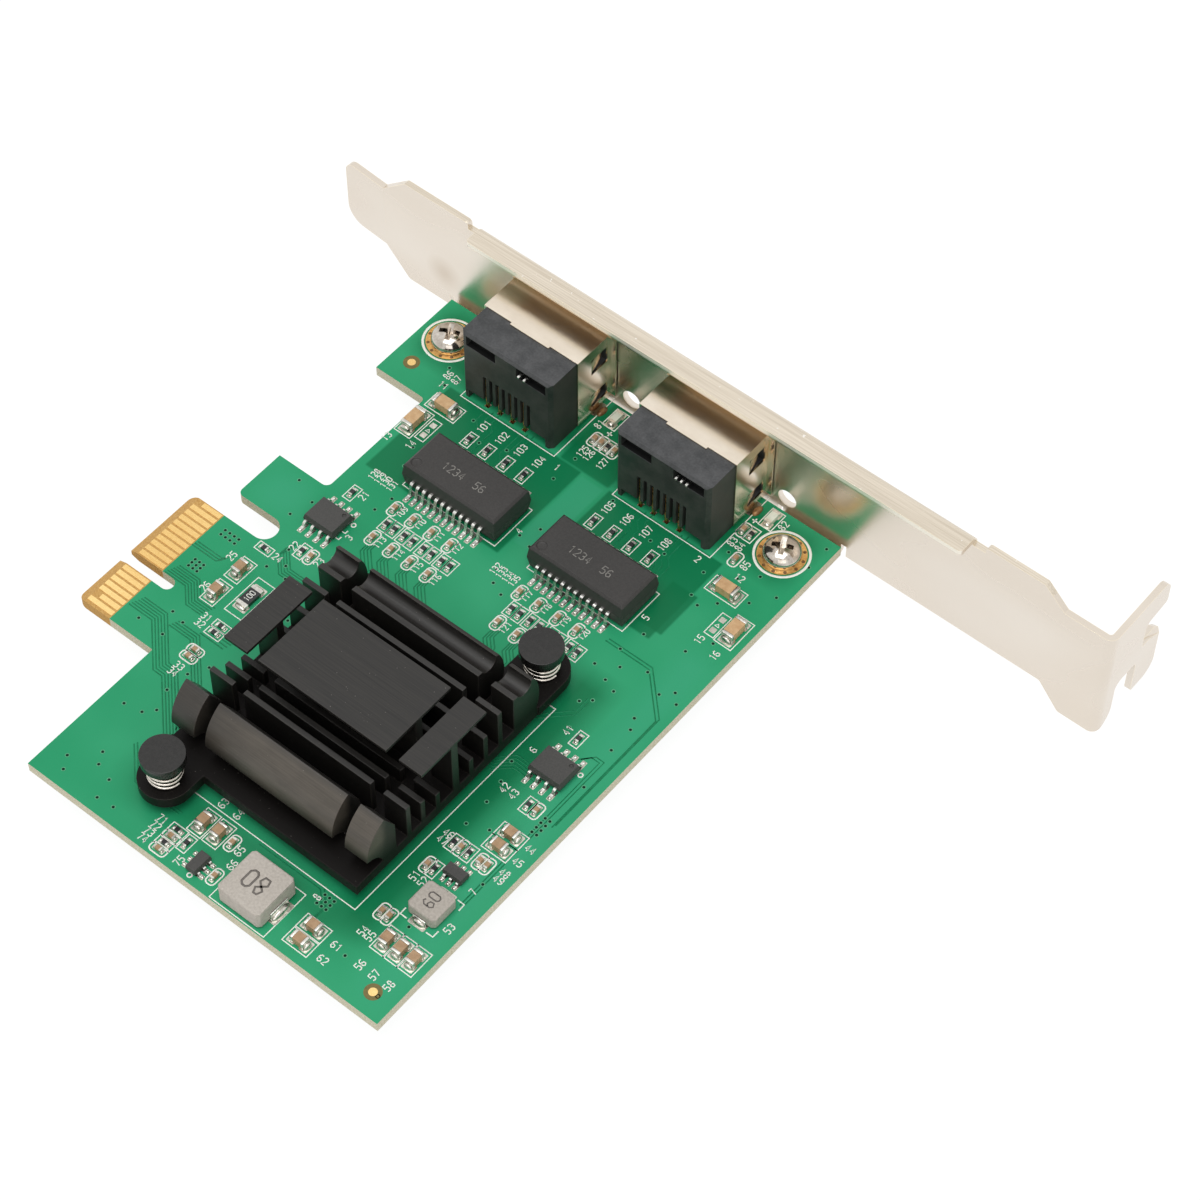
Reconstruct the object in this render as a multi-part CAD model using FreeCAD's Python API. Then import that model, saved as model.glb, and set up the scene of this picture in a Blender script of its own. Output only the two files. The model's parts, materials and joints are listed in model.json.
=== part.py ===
import FreeCAD, Part
import math
import os

# Two-port network interface card, lying flat with its component side up.
# All lengths are in millimetres. X runs from the edge connector towards the bracket's screw tab,
# Y runs towards the bracket, Z is up. X = 0 is the tip of the connector tongue, Y = 0 is the centre
# of the key notch and Z = 0 is the component face of the board.

os.makedirs("parts", exist_ok=True)
Vector = FreeCAD.Vector

# Board
board_thickness = 1.57
board_far_x = 67.1
board_tail_y = -29.4
board_front_y = 56.48
board_edge_x = 12.5
board_edge_near_bracket_x = 12.22
step_x = 4.03
step_y = 41.72
tongue_y = (-8.31, 12.0)
tab_x = 4.21
tab_y = (15.65, 23.34)
key_width = 1.9
key_depth = 7.97
bevel_length = 1.15
bevel_drop = 0.42
finger_pitch = 1.0
finger_width = 0.7
finger_length = 4.05
finger_thickness = 0.05
short_finger_gap = 1.0
screw_x = (8.4, 62.1)
screw_y = 51.05
screw_hole_radius = 1.7

# Bracket
sheet = 0.86
bracket_inner_y = 57.17
bracket_outer_y = bracket_inner_y + sheet
bracket_tip_x = -14.6
bracket_length = 119.67
tab_face_x = bracket_tip_x + bracket_length
plate_z = (-2.3, 15.85)
toe_z = (1.85, 12.4)
toe_bend_x = -7.7
toe_angle = 4.0
neck_z = (-6.05, 12.85)
lower_knees = (8.6, 5.5)
upper_knees = (10.0, 6.9)
flange_top_z = 16.12
flange_start_x = 8.55
flange_to_tab = 20.25
flange_length = 3.5
bend_radius = 1.3
relief_width = 1.8
foot_width = 9.0
foot_back_y = 47.4
foot_hole_radius = 1.55
foot_slot = 0.8
tab_end_y = 69.35
slot_inner_y = 65.12
slot_z = (3.7, 8.1)
lower_arm_y = (64.4, 69.05)
lower_arm_bottom_z = -4.85
gap_y = 60.1
gap_top_z = 1.27
lip_angle = 18.0
lip_root_z = 2.45
lip_height = 1.5
lamp_hole_radius = 1.4
lamp_hole_x = (33.4, 58.1)
lamp_hole_z = 1.7

# Jacks
jack_x = (22.68, 47.5)
jack_width = 14.56
jack_height = 12.25
jack_rear_y = 45.5
jack_front_y = bracket_outer_y
shield_rear_y = 50.4
shield_wall = 0.25
shield_clearance = 0.03
opening_clearance = 0.2
collar_out = 0.8
cavity_width = 11.8
cavity_z = (2.0, 8.8)
latch_width = 6.2
latch_top_z = 11.0
cavity_rear_y = 47.6
contact_pitch = 1.02
post_radius = 1.6
post_offset = 5.7
post_y = 52.3
contact_rows = (46.0, 47.0)
leg_y = 54.4
leg_length = 1.6
tail_hole = 0.7
leg_hole = (1.0, 2.4)
hole_clearance = 0.08

# Controller, pad and heatsink
cooler_centre = (39.75, -1.95)
chip_size = 21.0
chip_gap = 0.28
substrate_top_z = 0.62
chip_top_z = 1.2
base_z = (1.5, 3.2)
cooler_length = 30.4
cooler_width = 34.0
saw_cuts = ((28.2, 29.9), (49.6, 51.5))
platform_z = (11.9, 12.45)
platform_y = (-7.2, 4.1)
fin_thickness = 0.75
pin_offset = (11.95, 19.65)
ear_radius = 3.45
ear_hole_radius = 1.6
cap_radius = 2.75
cap_z = (6.35, 7.7)
shank_radius = 1.45

# Transformers and small chips
transformer_x = (26.53, 46.7)
transformer_y = 33.25
transformer_size = (15.0, 7.1)
transformer_z = (0.3, 4.1)
memory_chips = ((15.98, 19.4), (60.93, 8.85))


def box(x0, x1, y0, y1, z0, z1):
    return Part.makeBox(x1 - x0, y1 - y0, z1 - z0, Vector(x0, y0, z0))


def block(cx, cy, sx, sy, z0, z1):
    return box(cx - sx / 2, cx + sx / 2, cy - sy / 2, cy + sy / 2, z0, z1)


def cylinder(x, y, z0, z1, radius):
    return Part.makeCylinder(radius, z1 - z0, Vector(x, y, z0))


def in_xy(u, v):
    return Vector(u, v, 0)


def in_xz(u, v):
    return Vector(u, 0, v)


def in_yz(u, v):
    return Vector(0, u, v)


def rounded_face(corners, place):
    """Flat face through corners (u, v) or (u, v, radius) with each radius rounded by an arc."""
    points = [place(c[0], c[1]) for c in corners]
    radii = [c[2] if len(c) > 2 else 0 for c in corners]
    starts = []
    ends = []
    middles = []
    for i, corner in enumerate(points):
        to_last = (points[i - 1] - corner).normalize()
        to_next = (points[(i + 1) % len(points)] - corner).normalize()
        half_angle = to_last.getAngle(to_next) / 2
        trim = radii[i] / math.tan(half_angle)
        starts.append(corner + to_last * trim)
        ends.append(corner + to_next * trim)
        bisector = (to_last + to_next).normalize()
        middles.append(corner + bisector * (radii[i] / math.sin(half_angle) - radii[i]))
    edges = []
    for i in range(len(points)):
        if radii[i] > 0:
            edges.append(Part.Arc(starts[i], middles[i], ends[i]).toShape())
        following = starts[(i + 1) % len(points)]
        if (following - ends[i]).Length > 1e-6:
            edges.append(Part.makeLine(ends[i], following))
    return Part.Face(Part.Wire(edges))


def prism_x(corners, x0, x1):
    face = rounded_face(corners, in_yz)
    face.translate(Vector(x0, 0, 0))
    return face.extrude(Vector(x1 - x0, 0, 0))


def prism_y(corners, y0, y1):
    face = rounded_face(corners, in_xz)
    face.translate(Vector(0, y0, 0))
    return face.extrude(Vector(0, y1 - y0, 0))


def prism_z(corners, z0, z1):
    face = rounded_face(corners, in_xy)
    face.translate(Vector(0, 0, z0))
    return face.extrude(Vector(0, 0, z1 - z0))


def save(name, solids):
    shape = solids[0] if len(solids) == 1 else Part.makeCompound(solids)
    shape.exportStep("parts/" + name + ".step")


def one_solid(shape):
    return shape.removeSplitter().Solids[0]


pins = [(cooler_centre[0] + s * pin_offset[0], cooler_centre[1] + s * pin_offset[1]) for s in (-1, 1)]
shield_half = jack_width / 2 + shield_clearance + shield_wall
leg_offset = shield_half - shield_wall / 2

# Board: stepped outline with connector tongue, key notch, hook tab and round-bottomed notch
notch_end_x = 12.25
half_key = key_width / 2
half_notch = (tab_y[0] - tongue_y[1]) / 2
outline = [
    (0, tongue_y[0], 1.0),
    (board_edge_x, tongue_y[0]),
    (board_edge_x, board_tail_y),
    (board_far_x, board_tail_y),
    (board_far_x, board_front_y),
    (step_x, board_front_y),
    (step_x, step_y),
    (board_edge_near_bracket_x, step_y, 0.6),
    (board_edge_near_bracket_x, tab_y[1], 0.9),
    (tab_x, tab_y[1]),
    (tab_x, tab_y[0], 0.8),
    (notch_end_x, tab_y[0], half_notch * 0.98),
    (notch_end_x, tongue_y[1], half_notch * 0.98),
    (0, tongue_y[1], 1.0),
    (0, half_key),
    (key_depth, half_key, half_key * 0.98),
    (key_depth, -half_key, half_key * 0.98),
    (0, -half_key),
]
board = prism_z(outline, -board_thickness, 0)
bevel_top = [(-0.5, 0.5), (-0.5, -bevel_drop), (0, -bevel_drop), (bevel_length, 0), (bevel_length, 0.5)]
bevel_bottom = [(x, -board_thickness - z) for x, z in bevel_top]
for bevel in (bevel_top, bevel_bottom):
    board = board.cut(prism_y(bevel, tongue_y[0] - 1, tongue_y[1] + 1))
holes = []
for x in screw_x:
    holes.append(cylinder(x, screw_y, -2, 1, screw_hole_radius))
for x, y in pins:
    holes.append(cylinder(x, y, -2, 1, shank_radius + hole_clearance))
for x in jack_x:
    for side in (-1, 1):
        holes.append(cylinder(x + side * post_offset, post_y, -2, 1, post_radius + hole_clearance))
        holes.append(block(x + side * leg_offset, leg_y, leg_hole[0], leg_hole[1], -2, 1))
    for i in range(8):
        tail_x = x + (i - 3.5) * contact_pitch
        holes.append(block(tail_x, contact_rows[i % 2], tail_hole, tail_hole, -2, 1))
board = board.cut(holes)
save("board", [one_solid(board)])

# Edge connector fingers: eleven before the key notch and seven after it, on both faces
top_fingers = []
bottom_fingers = []
finger_rows = [11.5 - i * finger_pitch for i in range(11)] + [-1.5 - i * finger_pitch for i in range(7)]
finger_start = bevel_length + 0.02
finger_end = finger_start + finger_length
for i, y in enumerate(finger_rows):
    start = finger_start + (short_finger_gap if i in (0, 16) else 0)
    middle_x = (start + finger_end) / 2
    top_fingers.append(block(middle_x, y, finger_end - start, finger_width, 0, finger_thickness))
    under = -board_thickness - finger_thickness
    bottom_fingers.append(
        block((finger_start + finger_end) / 2, y, finger_length, finger_width, under, -board_thickness))
save("edge_fingers_top", top_fingers)
save("edge_fingers_bottom", bottom_fingers)

# Bracket: folded sheet with toe, stiffening flange, two feet and the screw tab.
# The knees of its outline are given as distances from the face of the screw tab.
bend_start_x = tab_face_x - bend_radius
flange_end_x = tab_face_x - flange_to_tab
relief_z = flange_top_z - bend_radius
plate_corners = [
    (toe_bend_x, toe_z[0], 0.8),
    (toe_bend_x + 3.8, plate_z[0], 0.8),
    (tab_face_x - lower_knees[0], plate_z[0], 0.6),
    (tab_face_x - lower_knees[1], neck_z[0], 0.6),
    (bend_start_x, neck_z[0]),
    (bend_start_x, neck_z[1]),
    (tab_face_x - upper_knees[1], neck_z[1]),
    (tab_face_x - upper_knees[0], plate_z[1]),
    (flange_end_x + relief_width, plate_z[1], 0.5),
    (flange_end_x + relief_width, relief_z),
    (flange_start_x - relief_width, relief_z),
    (flange_start_x - relief_width, plate_z[1], 0.5),
    (toe_bend_x + 3.9, plate_z[1], 0.6),
    (toe_bend_x, toe_z[1]),
]
bracket = prism_y(plate_corners, bracket_inner_y, bracket_outer_y)

# Toe bent slightly outwards
toe_length = toe_bend_x - bracket_tip_x
toe_corners = [
    (-toe_length, toe_z[0], 2.6),
    (0.06, toe_z[0]),
    (0.06, toe_z[1]),
    (-toe_length, toe_z[1], 1.6),
]
toe = prism_y(toe_corners, 0, sheet)
toe.rotate(Vector(0, 0, 0), Vector(0, 0, 1), -toe_angle)
toe.translate(Vector(toe_bend_x, bracket_inner_y, 0))
bracket = bracket.fuse(toe)

# Flange bent back over the board along the upper edge
flange_free_y = bracket_outer_y - flange_length
flange_corners = [
    (flange_free_y, flange_top_z),
    (bracket_outer_y, flange_top_z, bend_radius),
    (bracket_outer_y, relief_z - 0.01),
    (bracket_inner_y, relief_z - 0.01),
    (bracket_inner_y, flange_top_z - sheet, bend_radius - sheet),
    (flange_free_y, flange_top_z - sheet),
]
flange = prism_x(flange_corners, flange_start_x, flange_end_x)
flange_plan = [
    (flange_start_x, bracket_outer_y),
    (flange_start_x, flange_free_y, 0.6),
    (flange_end_x, flange_free_y, 0.6),
    (flange_end_x, bracket_outer_y),
]
bracket = bracket.fuse(flange.common(prism_z(flange_plan, plate_z[0], flange_top_z + 1)))

# Screw tab bent away from the board: an upper arm, the screw slot and a hooked lower arm
bend_plan = [
    (bend_start_x, bracket_inner_y),
    (tab_face_x, bracket_inner_y, bend_radius),
    (tab_face_x, tab_end_y),
    (tab_face_x - sheet, tab_end_y),
    (tab_face_x - sheet, bracket_outer_y, bend_radius - sheet),
    (bend_start_x, bracket_outer_y),
]
tab_corners = [
    (bracket_inner_y - 1, neck_z[0]),
    (gap_y, neck_z[0], 2.8),
    (gap_y, gap_top_z, 1.2),
    (lower_arm_y[0], gap_top_z, 0.8),
    (lower_arm_y[0], lower_arm_bottom_z, 0.5),
    (lower_arm_y[1], lower_arm_bottom_z, 2.2),
    (lower_arm_y[1], lip_root_z),
    (slot_inner_y + 1.2, slot_z[0]),
    (slot_inner_y, slot_z[0]),
    (slot_inner_y, slot_z[1], 1.2),
    (tab_end_y, slot_z[1] + 0.5, 0.6),
    (tab_end_y, neck_z[1], 1.7),
    (bracket_inner_y - 1, neck_z[1]),
]
screw_tab = prism_z(bend_plan, neck_z[0], neck_z[1]).common(prism_x(tab_corners, bend_start_x, tab_face_x))
bracket = bracket.fuse(screw_tab)

# Lip of the lower arm, leaning back behind the screw slot
lip_corners = [
    (slot_inner_y + 0.25, 0),
    (lower_arm_y[1], 0),
    (lower_arm_y[1], lip_height - 0.5),
    (lower_arm_y[1] - 0.7, lip_height),
    (slot_inner_y + 0.25, lip_height),
]
lip = prism_x(lip_corners, -sheet, 0)
lip.rotate(Vector(0, 0, 0), Vector(0, 1, 0), -lip_angle)
lip.translate(Vector(tab_face_x, 0, lip_root_z))
bracket = bracket.fuse(lip)

# Feet under the board, each bent out of the lower edge beside two relief slots
foot_top_z = -board_thickness
foot_profile = [
    (foot_back_y, foot_top_z),
    (bracket_inner_y, foot_top_z, bend_radius - sheet),
    (bracket_inner_y, 0.4),
    (bracket_outer_y, 0.4),
    (bracket_outer_y, foot_top_z - sheet, bend_radius),
    (foot_back_y, foot_top_z - sheet),
]
cuts = []
for x in screw_x:
    cuts.append(box(x - foot_width / 2, x + foot_width / 2, bracket_inner_y - 1, bracket_outer_y + 1, -3, 0))
    for side in (-1, 1):
        slot_x = x + side * (foot_width + foot_slot) / 2
        cuts.append(block(slot_x, bracket_inner_y, foot_slot, 4, -3, -0.4))
bracket = bracket.cut(cuts)
for x in screw_x:
    foot = prism_x(foot_profile, x - foot_width / 2, x + foot_width / 2)
    foot_plan = [
        (x - foot_width / 2, foot_back_y, 2.0),
        (x + foot_width / 2, foot_back_y, 2.0),
        (x + foot_width / 2, bracket_outer_y + 1),
        (x - foot_width / 2, bracket_outer_y + 1),
    ]
    foot = foot.common(prism_z(foot_plan, -3, 1))
    bracket = bracket.fuse(foot.cut(cylinder(x, screw_y, -3, 0, foot_hole_radius)))

# Openings for the jacks and the two status lamps
openings = []
opening_half = shield_half + opening_clearance
shield_top_z = jack_height + shield_clearance + shield_wall
for x in jack_x:
    openings.append(box(x - opening_half, x + opening_half, bracket_inner_y - 1, bracket_outer_y + 1,
                        0.1, shield_top_z + opening_clearance))
for x in lamp_hole_x:
    openings.append(Part.makeCylinder(lamp_hole_radius, 4, Vector(x, bracket_inner_y - 2, lamp_hole_z),
                                      Vector(0, 1, 0)))
bracket = bracket.cut(openings)
save("bracket", [one_solid(bracket)])

# Bracket screws: round heads with a cross recess, standing on the board
head_radius = 2.5
head_height = 1.9
thread_radius = 1.45
screw_end_z = -3.0
recess_half = 1.45
recess_depth = 1.3
recess_floor = 0.55
recess_half_width = 0.3
recess_turn = 25
screws = []
for x in screw_x:
    head = cylinder(x, screw_y, 0, head_height, head_radius)
    thread = cylinder(x, screw_y, screw_end_z, 0, thread_radius)
    recess_top = head_height + 0.01
    blade = [
        (-recess_half, recess_top),
        (recess_half, recess_top),
        (recess_floor, recess_top - recess_depth),
        (-recess_floor, recess_top - recess_depth),
    ]
    recess = prism_y(blade, -recess_half_width, recess_half_width)
    recess = recess.fuse(prism_x(blade, -recess_half_width, recess_half_width))
    recess.rotate(Vector(0, 0, 0), Vector(0, 0, 1), recess_turn)
    recess.translate(Vector(x, screw_y, 0))
    screws.append(one_solid(head.fuse(thread).cut(recess)))
save("bracket_screws", screws)

# Controller chip on its carrier, and the pad that couples it to the heatsink
cx, cy = cooler_centre
save("controller_carrier", [block(cx, cy, chip_size, chip_size, chip_gap, substrate_top_z)])
save("controller_chip", [block(cx, cy, chip_size - 2, chip_size - 2, substrate_top_z, chip_top_z)])
save("thermal_pad", [block(cx, cy, chip_size - 4, chip_size - 4, chip_top_z, base_z[0])])

# Heatsink: one extrusion along X with an umbrella of fins, cut across twice by a saw
x0 = cx - cooler_length / 2
x1 = cx + cooler_length / 2
y0 = cy - cooler_width / 2
y1 = cy + cooler_width / 2
base_top = base_z[1]
heatsink = box(x0, x1, y0, y1, base_z[0], base_top)
fins = ((-9.75, 8.9), (-7.3, 7.2), (-4.75, 5.8), (1.15, 6.0), (3.75, 7.6), (6.35, 9.5))
for fin_y, fin_top in fins:
    half = fin_thickness / 2
    heatsink = heatsink.fuse(box(x0, x1, fin_y - half, fin_y + half, base_top - 0.2, fin_top))
stem_y = (platform_y[0] + platform_y[1]) / 2
stem_half = 0.55
platform_corners = [
    (stem_y - stem_half, base_top - 0.2),
    (stem_y + stem_half, base_top - 0.2),
    (stem_y + stem_half, platform_z[0]),
    (platform_y[1], platform_z[0]),
    (platform_y[1], platform_z[1]),
    (platform_y[0], platform_z[1]),
    (platform_y[0], platform_z[0]),
    (stem_y - stem_half, platform_z[0]),
]
heatsink = heatsink.fuse(prism_x(platform_corners, x0, x1))


def curved_face(points, arcs):
    """Closed YZ face; each (i, via) in arcs bows the side that starts at point i through via."""
    bows = dict(arcs)
    edges = []
    for i, (y, z) in enumerate(points):
        start = in_yz(y, z)
        end = in_yz(*points[(i + 1) % len(points)])
        if i in bows:
            edges.append(Part.Arc(start, in_yz(*bows[i]), end).toShape())
        else:
            edges.append(Part.makeLine(start, end))
    return Part.Face(Part.Wire(edges))


# Outer wings: a hooked one over the tail side and a scooped rail on the bracket side
hook = curved_face(
    [(-14.3, base_top - 0.2), (-12.0, base_top - 0.2), (-12.0, 8.0), (-13.7, 11.1), (-14.1, 10.9), (-16.9, 5.7)],
    [(4, (-16.1, 8.8)), (5, (-15.2, 4.9))])
rail = curved_face(
    [(8.75, base_top - 0.2), (12.7, base_top - 0.2), (12.6, 9.6), (12.0, 9.9), (9.6, 9.3), (8.75, 9.4)],
    [(1, (13.4, 6.4)), (3, (10.7, 8.5))])
for wing in (hook, rail):
    wing.translate(Vector(x0, 0, 0))
    heatsink = heatsink.fuse(wing.extrude(Vector(cooler_length, 0, 0)))
for cut_start, cut_end in saw_cuts:
    heatsink = heatsink.cut(box(cut_start, cut_end, y0 - 1, y1 + 1, base_top, platform_z[1] + 1))
for (pin_x, pin_y), base_y in zip(pins, (y0, y1)):
    ear = cylinder(pin_x, pin_y, base_z[0], base_top, ear_radius)
    low_y, high_y = sorted((pin_y, base_y + math.copysign(2.0, pin_y * -1)))
    neck = box(pin_x - ear_radius, pin_x + ear_radius, low_y, high_y, base_z[0], base_top)
    heatsink = heatsink.fuse([ear, neck])
for pin_x, pin_y in pins:
    heatsink = heatsink.cut(cylinder(pin_x, pin_y, 0, 5, ear_hole_radius))
save("heatsink", [one_solid(heatsink)])

# Push pins: capped plastic pins whose split barbs lock under the board
push_pins = []
barb_top = -board_thickness - 0.08
barb_bottom = barb_top - 2.7
for pin_x, pin_y in pins:
    shank = cylinder(0, 0, barb_top, cap_z[0], shank_radius)
    cap = cylinder(0, 0, cap_z[0], cap_z[1], cap_radius)
    barb_half = shank_radius + 0.45
    arrow = [
        (-barb_half, barb_top),
        (barb_half, barb_top),
        (barb_half, barb_top - 0.5),
        (0.75, barb_bottom),
        (-0.75, barb_bottom),
        (-barb_half, barb_top - 0.5),
    ]
    barb = prism_y(arrow, -1.0, 1.0)
    split = box(-0.3, 0.3, -3, 3, barb_bottom - 1, base_z[0])
    pin = shank.fuse([cap, barb]).cut(split)
    pin.rotate(Vector(0, 0, 0), Vector(0, 0, 1), 40)
    pin.translate(Vector(pin_x, pin_y, 0))
    push_pins.append(one_solid(pin))
save("push_pins", push_pins)

# Springs between each cap and its ear
wire_radius = 0.24
coil_radius = 2.1
turns = 4
steps_per_turn = 8
coil_bottom = base_top + wire_radius + 0.02
coil_top = cap_z[0] - wire_radius - 0.02
springs = []
for pin_x, pin_y in pins:
    sections = []
    for k in range(turns * steps_per_turn + 1):
        angle = math.radians(360 / steps_per_turn * k)
        rise = (coil_top - coil_bottom) * k / (turns * steps_per_turn)
        corners = []
        for out, up in ((wire_radius, 0), (0, wire_radius), (-wire_radius, 0), (0, -wire_radius)):
            reach = coil_radius + out
            corners.append(Vector(pin_x + reach * math.cos(angle), pin_y + reach * math.sin(angle),
                                  coil_bottom + rise + up))
        sections.append(Part.makePolygon(corners + [corners[0]]))
    springs.append(Part.makeLoft(sections, True, True))
save("push_pin_springs", springs)

# Jacks: black housing, plated shield and eight contact wires each
names = ("jack_one", "jack_two")
wall_bottom_z = 1.5
groove_top_z = 6.0
recess_span = (1.7, 6.4)
recess_z = (10.1, 11.85)
window_y = (53.05, 56.15)
window_z = ((1.6, 3.9), (7.9, 10.7))
for name, x in zip(names, jack_x):
    half = jack_width / 2
    body = prism_y([
        (x - half, 0),
        (x + half, 0),
        (x + half, jack_height),
        (x - half, jack_height),
    ], jack_rear_y, jack_front_y - shield_wall - 0.05)
    cut_list = [box(x - half, x + half, shield_rear_y, jack_front_y, -1, 0.35)]
    cut_list.append(box(x - cavity_width / 2, x + cavity_width / 2, cavity_rear_y, jack_front_y,
                        cavity_z[0], cavity_z[1]))
    cut_list.append(box(x - latch_width / 2, x + latch_width / 2, cavity_rear_y + 1.4, jack_front_y,
                        cavity_z[1] - 0.1, latch_top_z))
    rear_wall_y = cavity_rear_y - 0.3
    cut_list.append(box(x - half + 1.0, x + half - 1.0, jack_rear_y - 1, rear_wall_y, -1, wall_bottom_z))
    for side in (-1, 1):
        low, high = sorted((x + side * recess_span[0], x + side * recess_span[1]))
        cut_list.append(box(low, high, jack_rear_y - 1, jack_rear_y + 0.9, recess_z[0], recess_z[1]))
        outer = x + side * half
        for low_z, high_z in window_z:
            low, high = sorted((outer - side * 0.75, outer + side))
            cut_list.append(box(low, high, window_y[0] - 0.1, window_y[1] + 0.1, low_z - 0.1, high_z + 0.1))
        corner = [(outer, jack_rear_y), (outer, jack_rear_y + 0.5), (outer - side * 0.5, jack_rear_y)]
        cut_list.append(prism_z(corner, 0, jack_height + 1))
    rear_chamfer = [
        (jack_rear_y, jack_height),
        (jack_rear_y + 0.35, jack_height),
        (jack_rear_y, jack_height - 0.35),
    ]
    cut_list.append(prism_x(rear_chamfer, x - half, x + half))
    for i in range(8):
        wire_x = x + (i - 3.5) * contact_pitch
        row_y = contact_rows[i % 2]
        cut_list.append(box(wire_x - 0.26, wire_x + 0.26, jack_rear_y - 1, row_y + 0.3, -1, groove_top_z))
    wire_span = 3.5 * contact_pitch + 0.3
    cut_list.append(box(x - wire_span, x + wire_span, contact_rows[0], cavity_rear_y + 0.1, 4.5, 5.4))
    body = body.cut(cut_list)
    posts = [cylinder(x + side * post_offset, post_y, -2.9, 0.5, post_radius) for side in (-1, 1)]
    body = body.fuse(posts)
    save(name + "_housing", [one_solid(body)])

    # Contact wires: tail through the board, up the rear comb and down into the plug's space
    wires = []
    for i in range(8):
        wire_x = x + (i - 3.5) * contact_pitch
        row_y = contact_rows[i % 2]
        wire = prism_x([
            (row_y - 0.15, -2.7),
            (row_y + 0.15, -2.7),
            (row_y + 0.15, 4.9),
            (54.3, 2.75),
            (54.4, 3.0),
            (row_y - 0.15, 5.25),
        ], wire_x - 0.18, wire_x + 0.18)
        wires.append(wire)
    save(name + "_contacts", wires)

    # Shield: folded shell over the front, with a collar behind the bracket and legs into the board
    inner = half + shield_clearance
    roof = jack_height + shield_clearance
    shell = box(x - shield_half, x + shield_half, shield_rear_y, jack_front_y, 0.35, shield_top_z)
    shell = shell.cut(box(x - inner, x + inner, shield_rear_y - 1, jack_front_y - shield_wall, 0, roof))
    rear_tongue = box(x - 3.1, x + 3.1, shield_rear_y - 0.35, shield_rear_y + 0.1, roof, shield_top_z)
    collar_y = bracket_inner_y - 0.15
    collar = box(x - shield_half - collar_out, x + shield_half + collar_out, collar_y - shield_wall, collar_y,
                 1.0, shield_top_z - 0.9)
    collar = collar.cut(box(x - inner, x + inner, collar_y - 1, collar_y + 1, 0, roof))
    legs = []
    for side in (-1, 1):
        leg_x = x + side * leg_offset
        legs.append(block(leg_x, leg_y, shield_wall, leg_length, -2.6, 0.5))
    shell = shell.fuse([rear_tongue, collar] + legs)
    aperture = [
        (x - cavity_width / 2, cavity_z[0]),
        (x + cavity_width / 2, cavity_z[0]),
        (x + cavity_width / 2, cavity_z[1]),
        (x + latch_width / 2, cavity_z[1]),
        (x + latch_width / 2, latch_top_z),
        (x - latch_width / 2, latch_top_z),
        (x - latch_width / 2, cavity_z[1]),
        (x - cavity_width / 2, cavity_z[1]),
    ]
    shell_cuts = [prism_y(aperture, jack_front_y - 1, jack_front_y + 1)]
    leaves = []
    for side in (-1, 1):
        wall_x = x + side * (shield_half - shield_wall / 2)
        for low_z, high_z in window_z:
            shell_cuts.append(box(wall_x - 0.4, wall_x + 0.4, window_y[0], window_y[1], low_z, high_z))
            leaf_root = wall_x + side * shield_wall / 2
            leaf = [
                (leaf_root, window_y[0] - 0.1),
                (leaf_root - side * 0.6, window_y[1] - 0.5),
                (leaf_root - side * 0.78, window_y[1] - 0.5),
                (leaf_root - side * shield_wall, window_y[0] - 0.1),
            ]
            leaves.append(prism_z(leaf, low_z + 0.45, high_z - 0.45))
    shell = shell.cut(shell_cuts).fuse(leaves)
    save(name + "_shield", [one_solid(shell)])

# Transformers: moulded bodies with twelve bent leads along each long side
lead_pitch = 1.0


def moulded_body(px, py, size_x, size_y, z_low, z_parting, z_high, draft):
    """Moulded package: two drafted halves that meet at the parting line."""
    def rectangle(inset, z):
        a = size_x / 2 - inset
        b = size_y / 2 - inset
        corners = [Vector(px + s * a, py + t * b, z) for s, t in ((-1, -1), (1, -1), (1, 1), (-1, 1))]
        return Part.makePolygon(corners + [corners[0]])
    lower = Part.makeLoft([rectangle(draft, z_low), rectangle(0, z_parting)], True, True)
    upper = Part.makeLoft([rectangle(0, z_parting), rectangle(draft, z_high)], True, True)
    return lower.fuse(upper)


def gull_lead(lead_x, lead_y, side, inner_y, outer_y, exit_z, width, gauge):
    """Flat lead: out of the body at exit_z, down, and flat along the board."""
    heel = outer_y - (outer_y - inner_y) * 0.42
    profile = [
        (inner_y, exit_z),
        (heel, gauge + 0.02),
        (outer_y, gauge + 0.02),
        (outer_y, 0.02),
        (heel - gauge, 0.02),
        (inner_y, exit_z - gauge * 1.5),
    ]
    corners = [(lead_y + side * y, z) for y, z in profile]
    return prism_x(corners, lead_x - width / 2, lead_x + width / 2)


parting_z = 2.1
transformer_toe = 5.15
transformer_lead = (0.5, 0.2)
for name, px in zip(("transformer_one", "transformer_two"), transformer_x):
    body = moulded_body(px, transformer_y, transformer_size[0], transformer_size[1],
                        transformer_z[0], parting_z, transformer_z[1], 0.25)
    top_edges = [e for e in body.Edges if min(v.Z for v in e.Vertexes) > transformer_z[1] - 0.01]
    body = body.makeChamfer(0.3, top_edges)
    save(name + "_body", [one_solid(body)])
    leads = []
    for side in (-1, 1):
        for i in range(12):
            lead_x = px + (i - 5.5) * lead_pitch
            leads.append(gull_lead(lead_x, transformer_y, side, transformer_size[1] / 2, transformer_toe,
                                   parting_z, transformer_lead[0], transformer_lead[1]))
    save(name + "_leads", leads)

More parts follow.
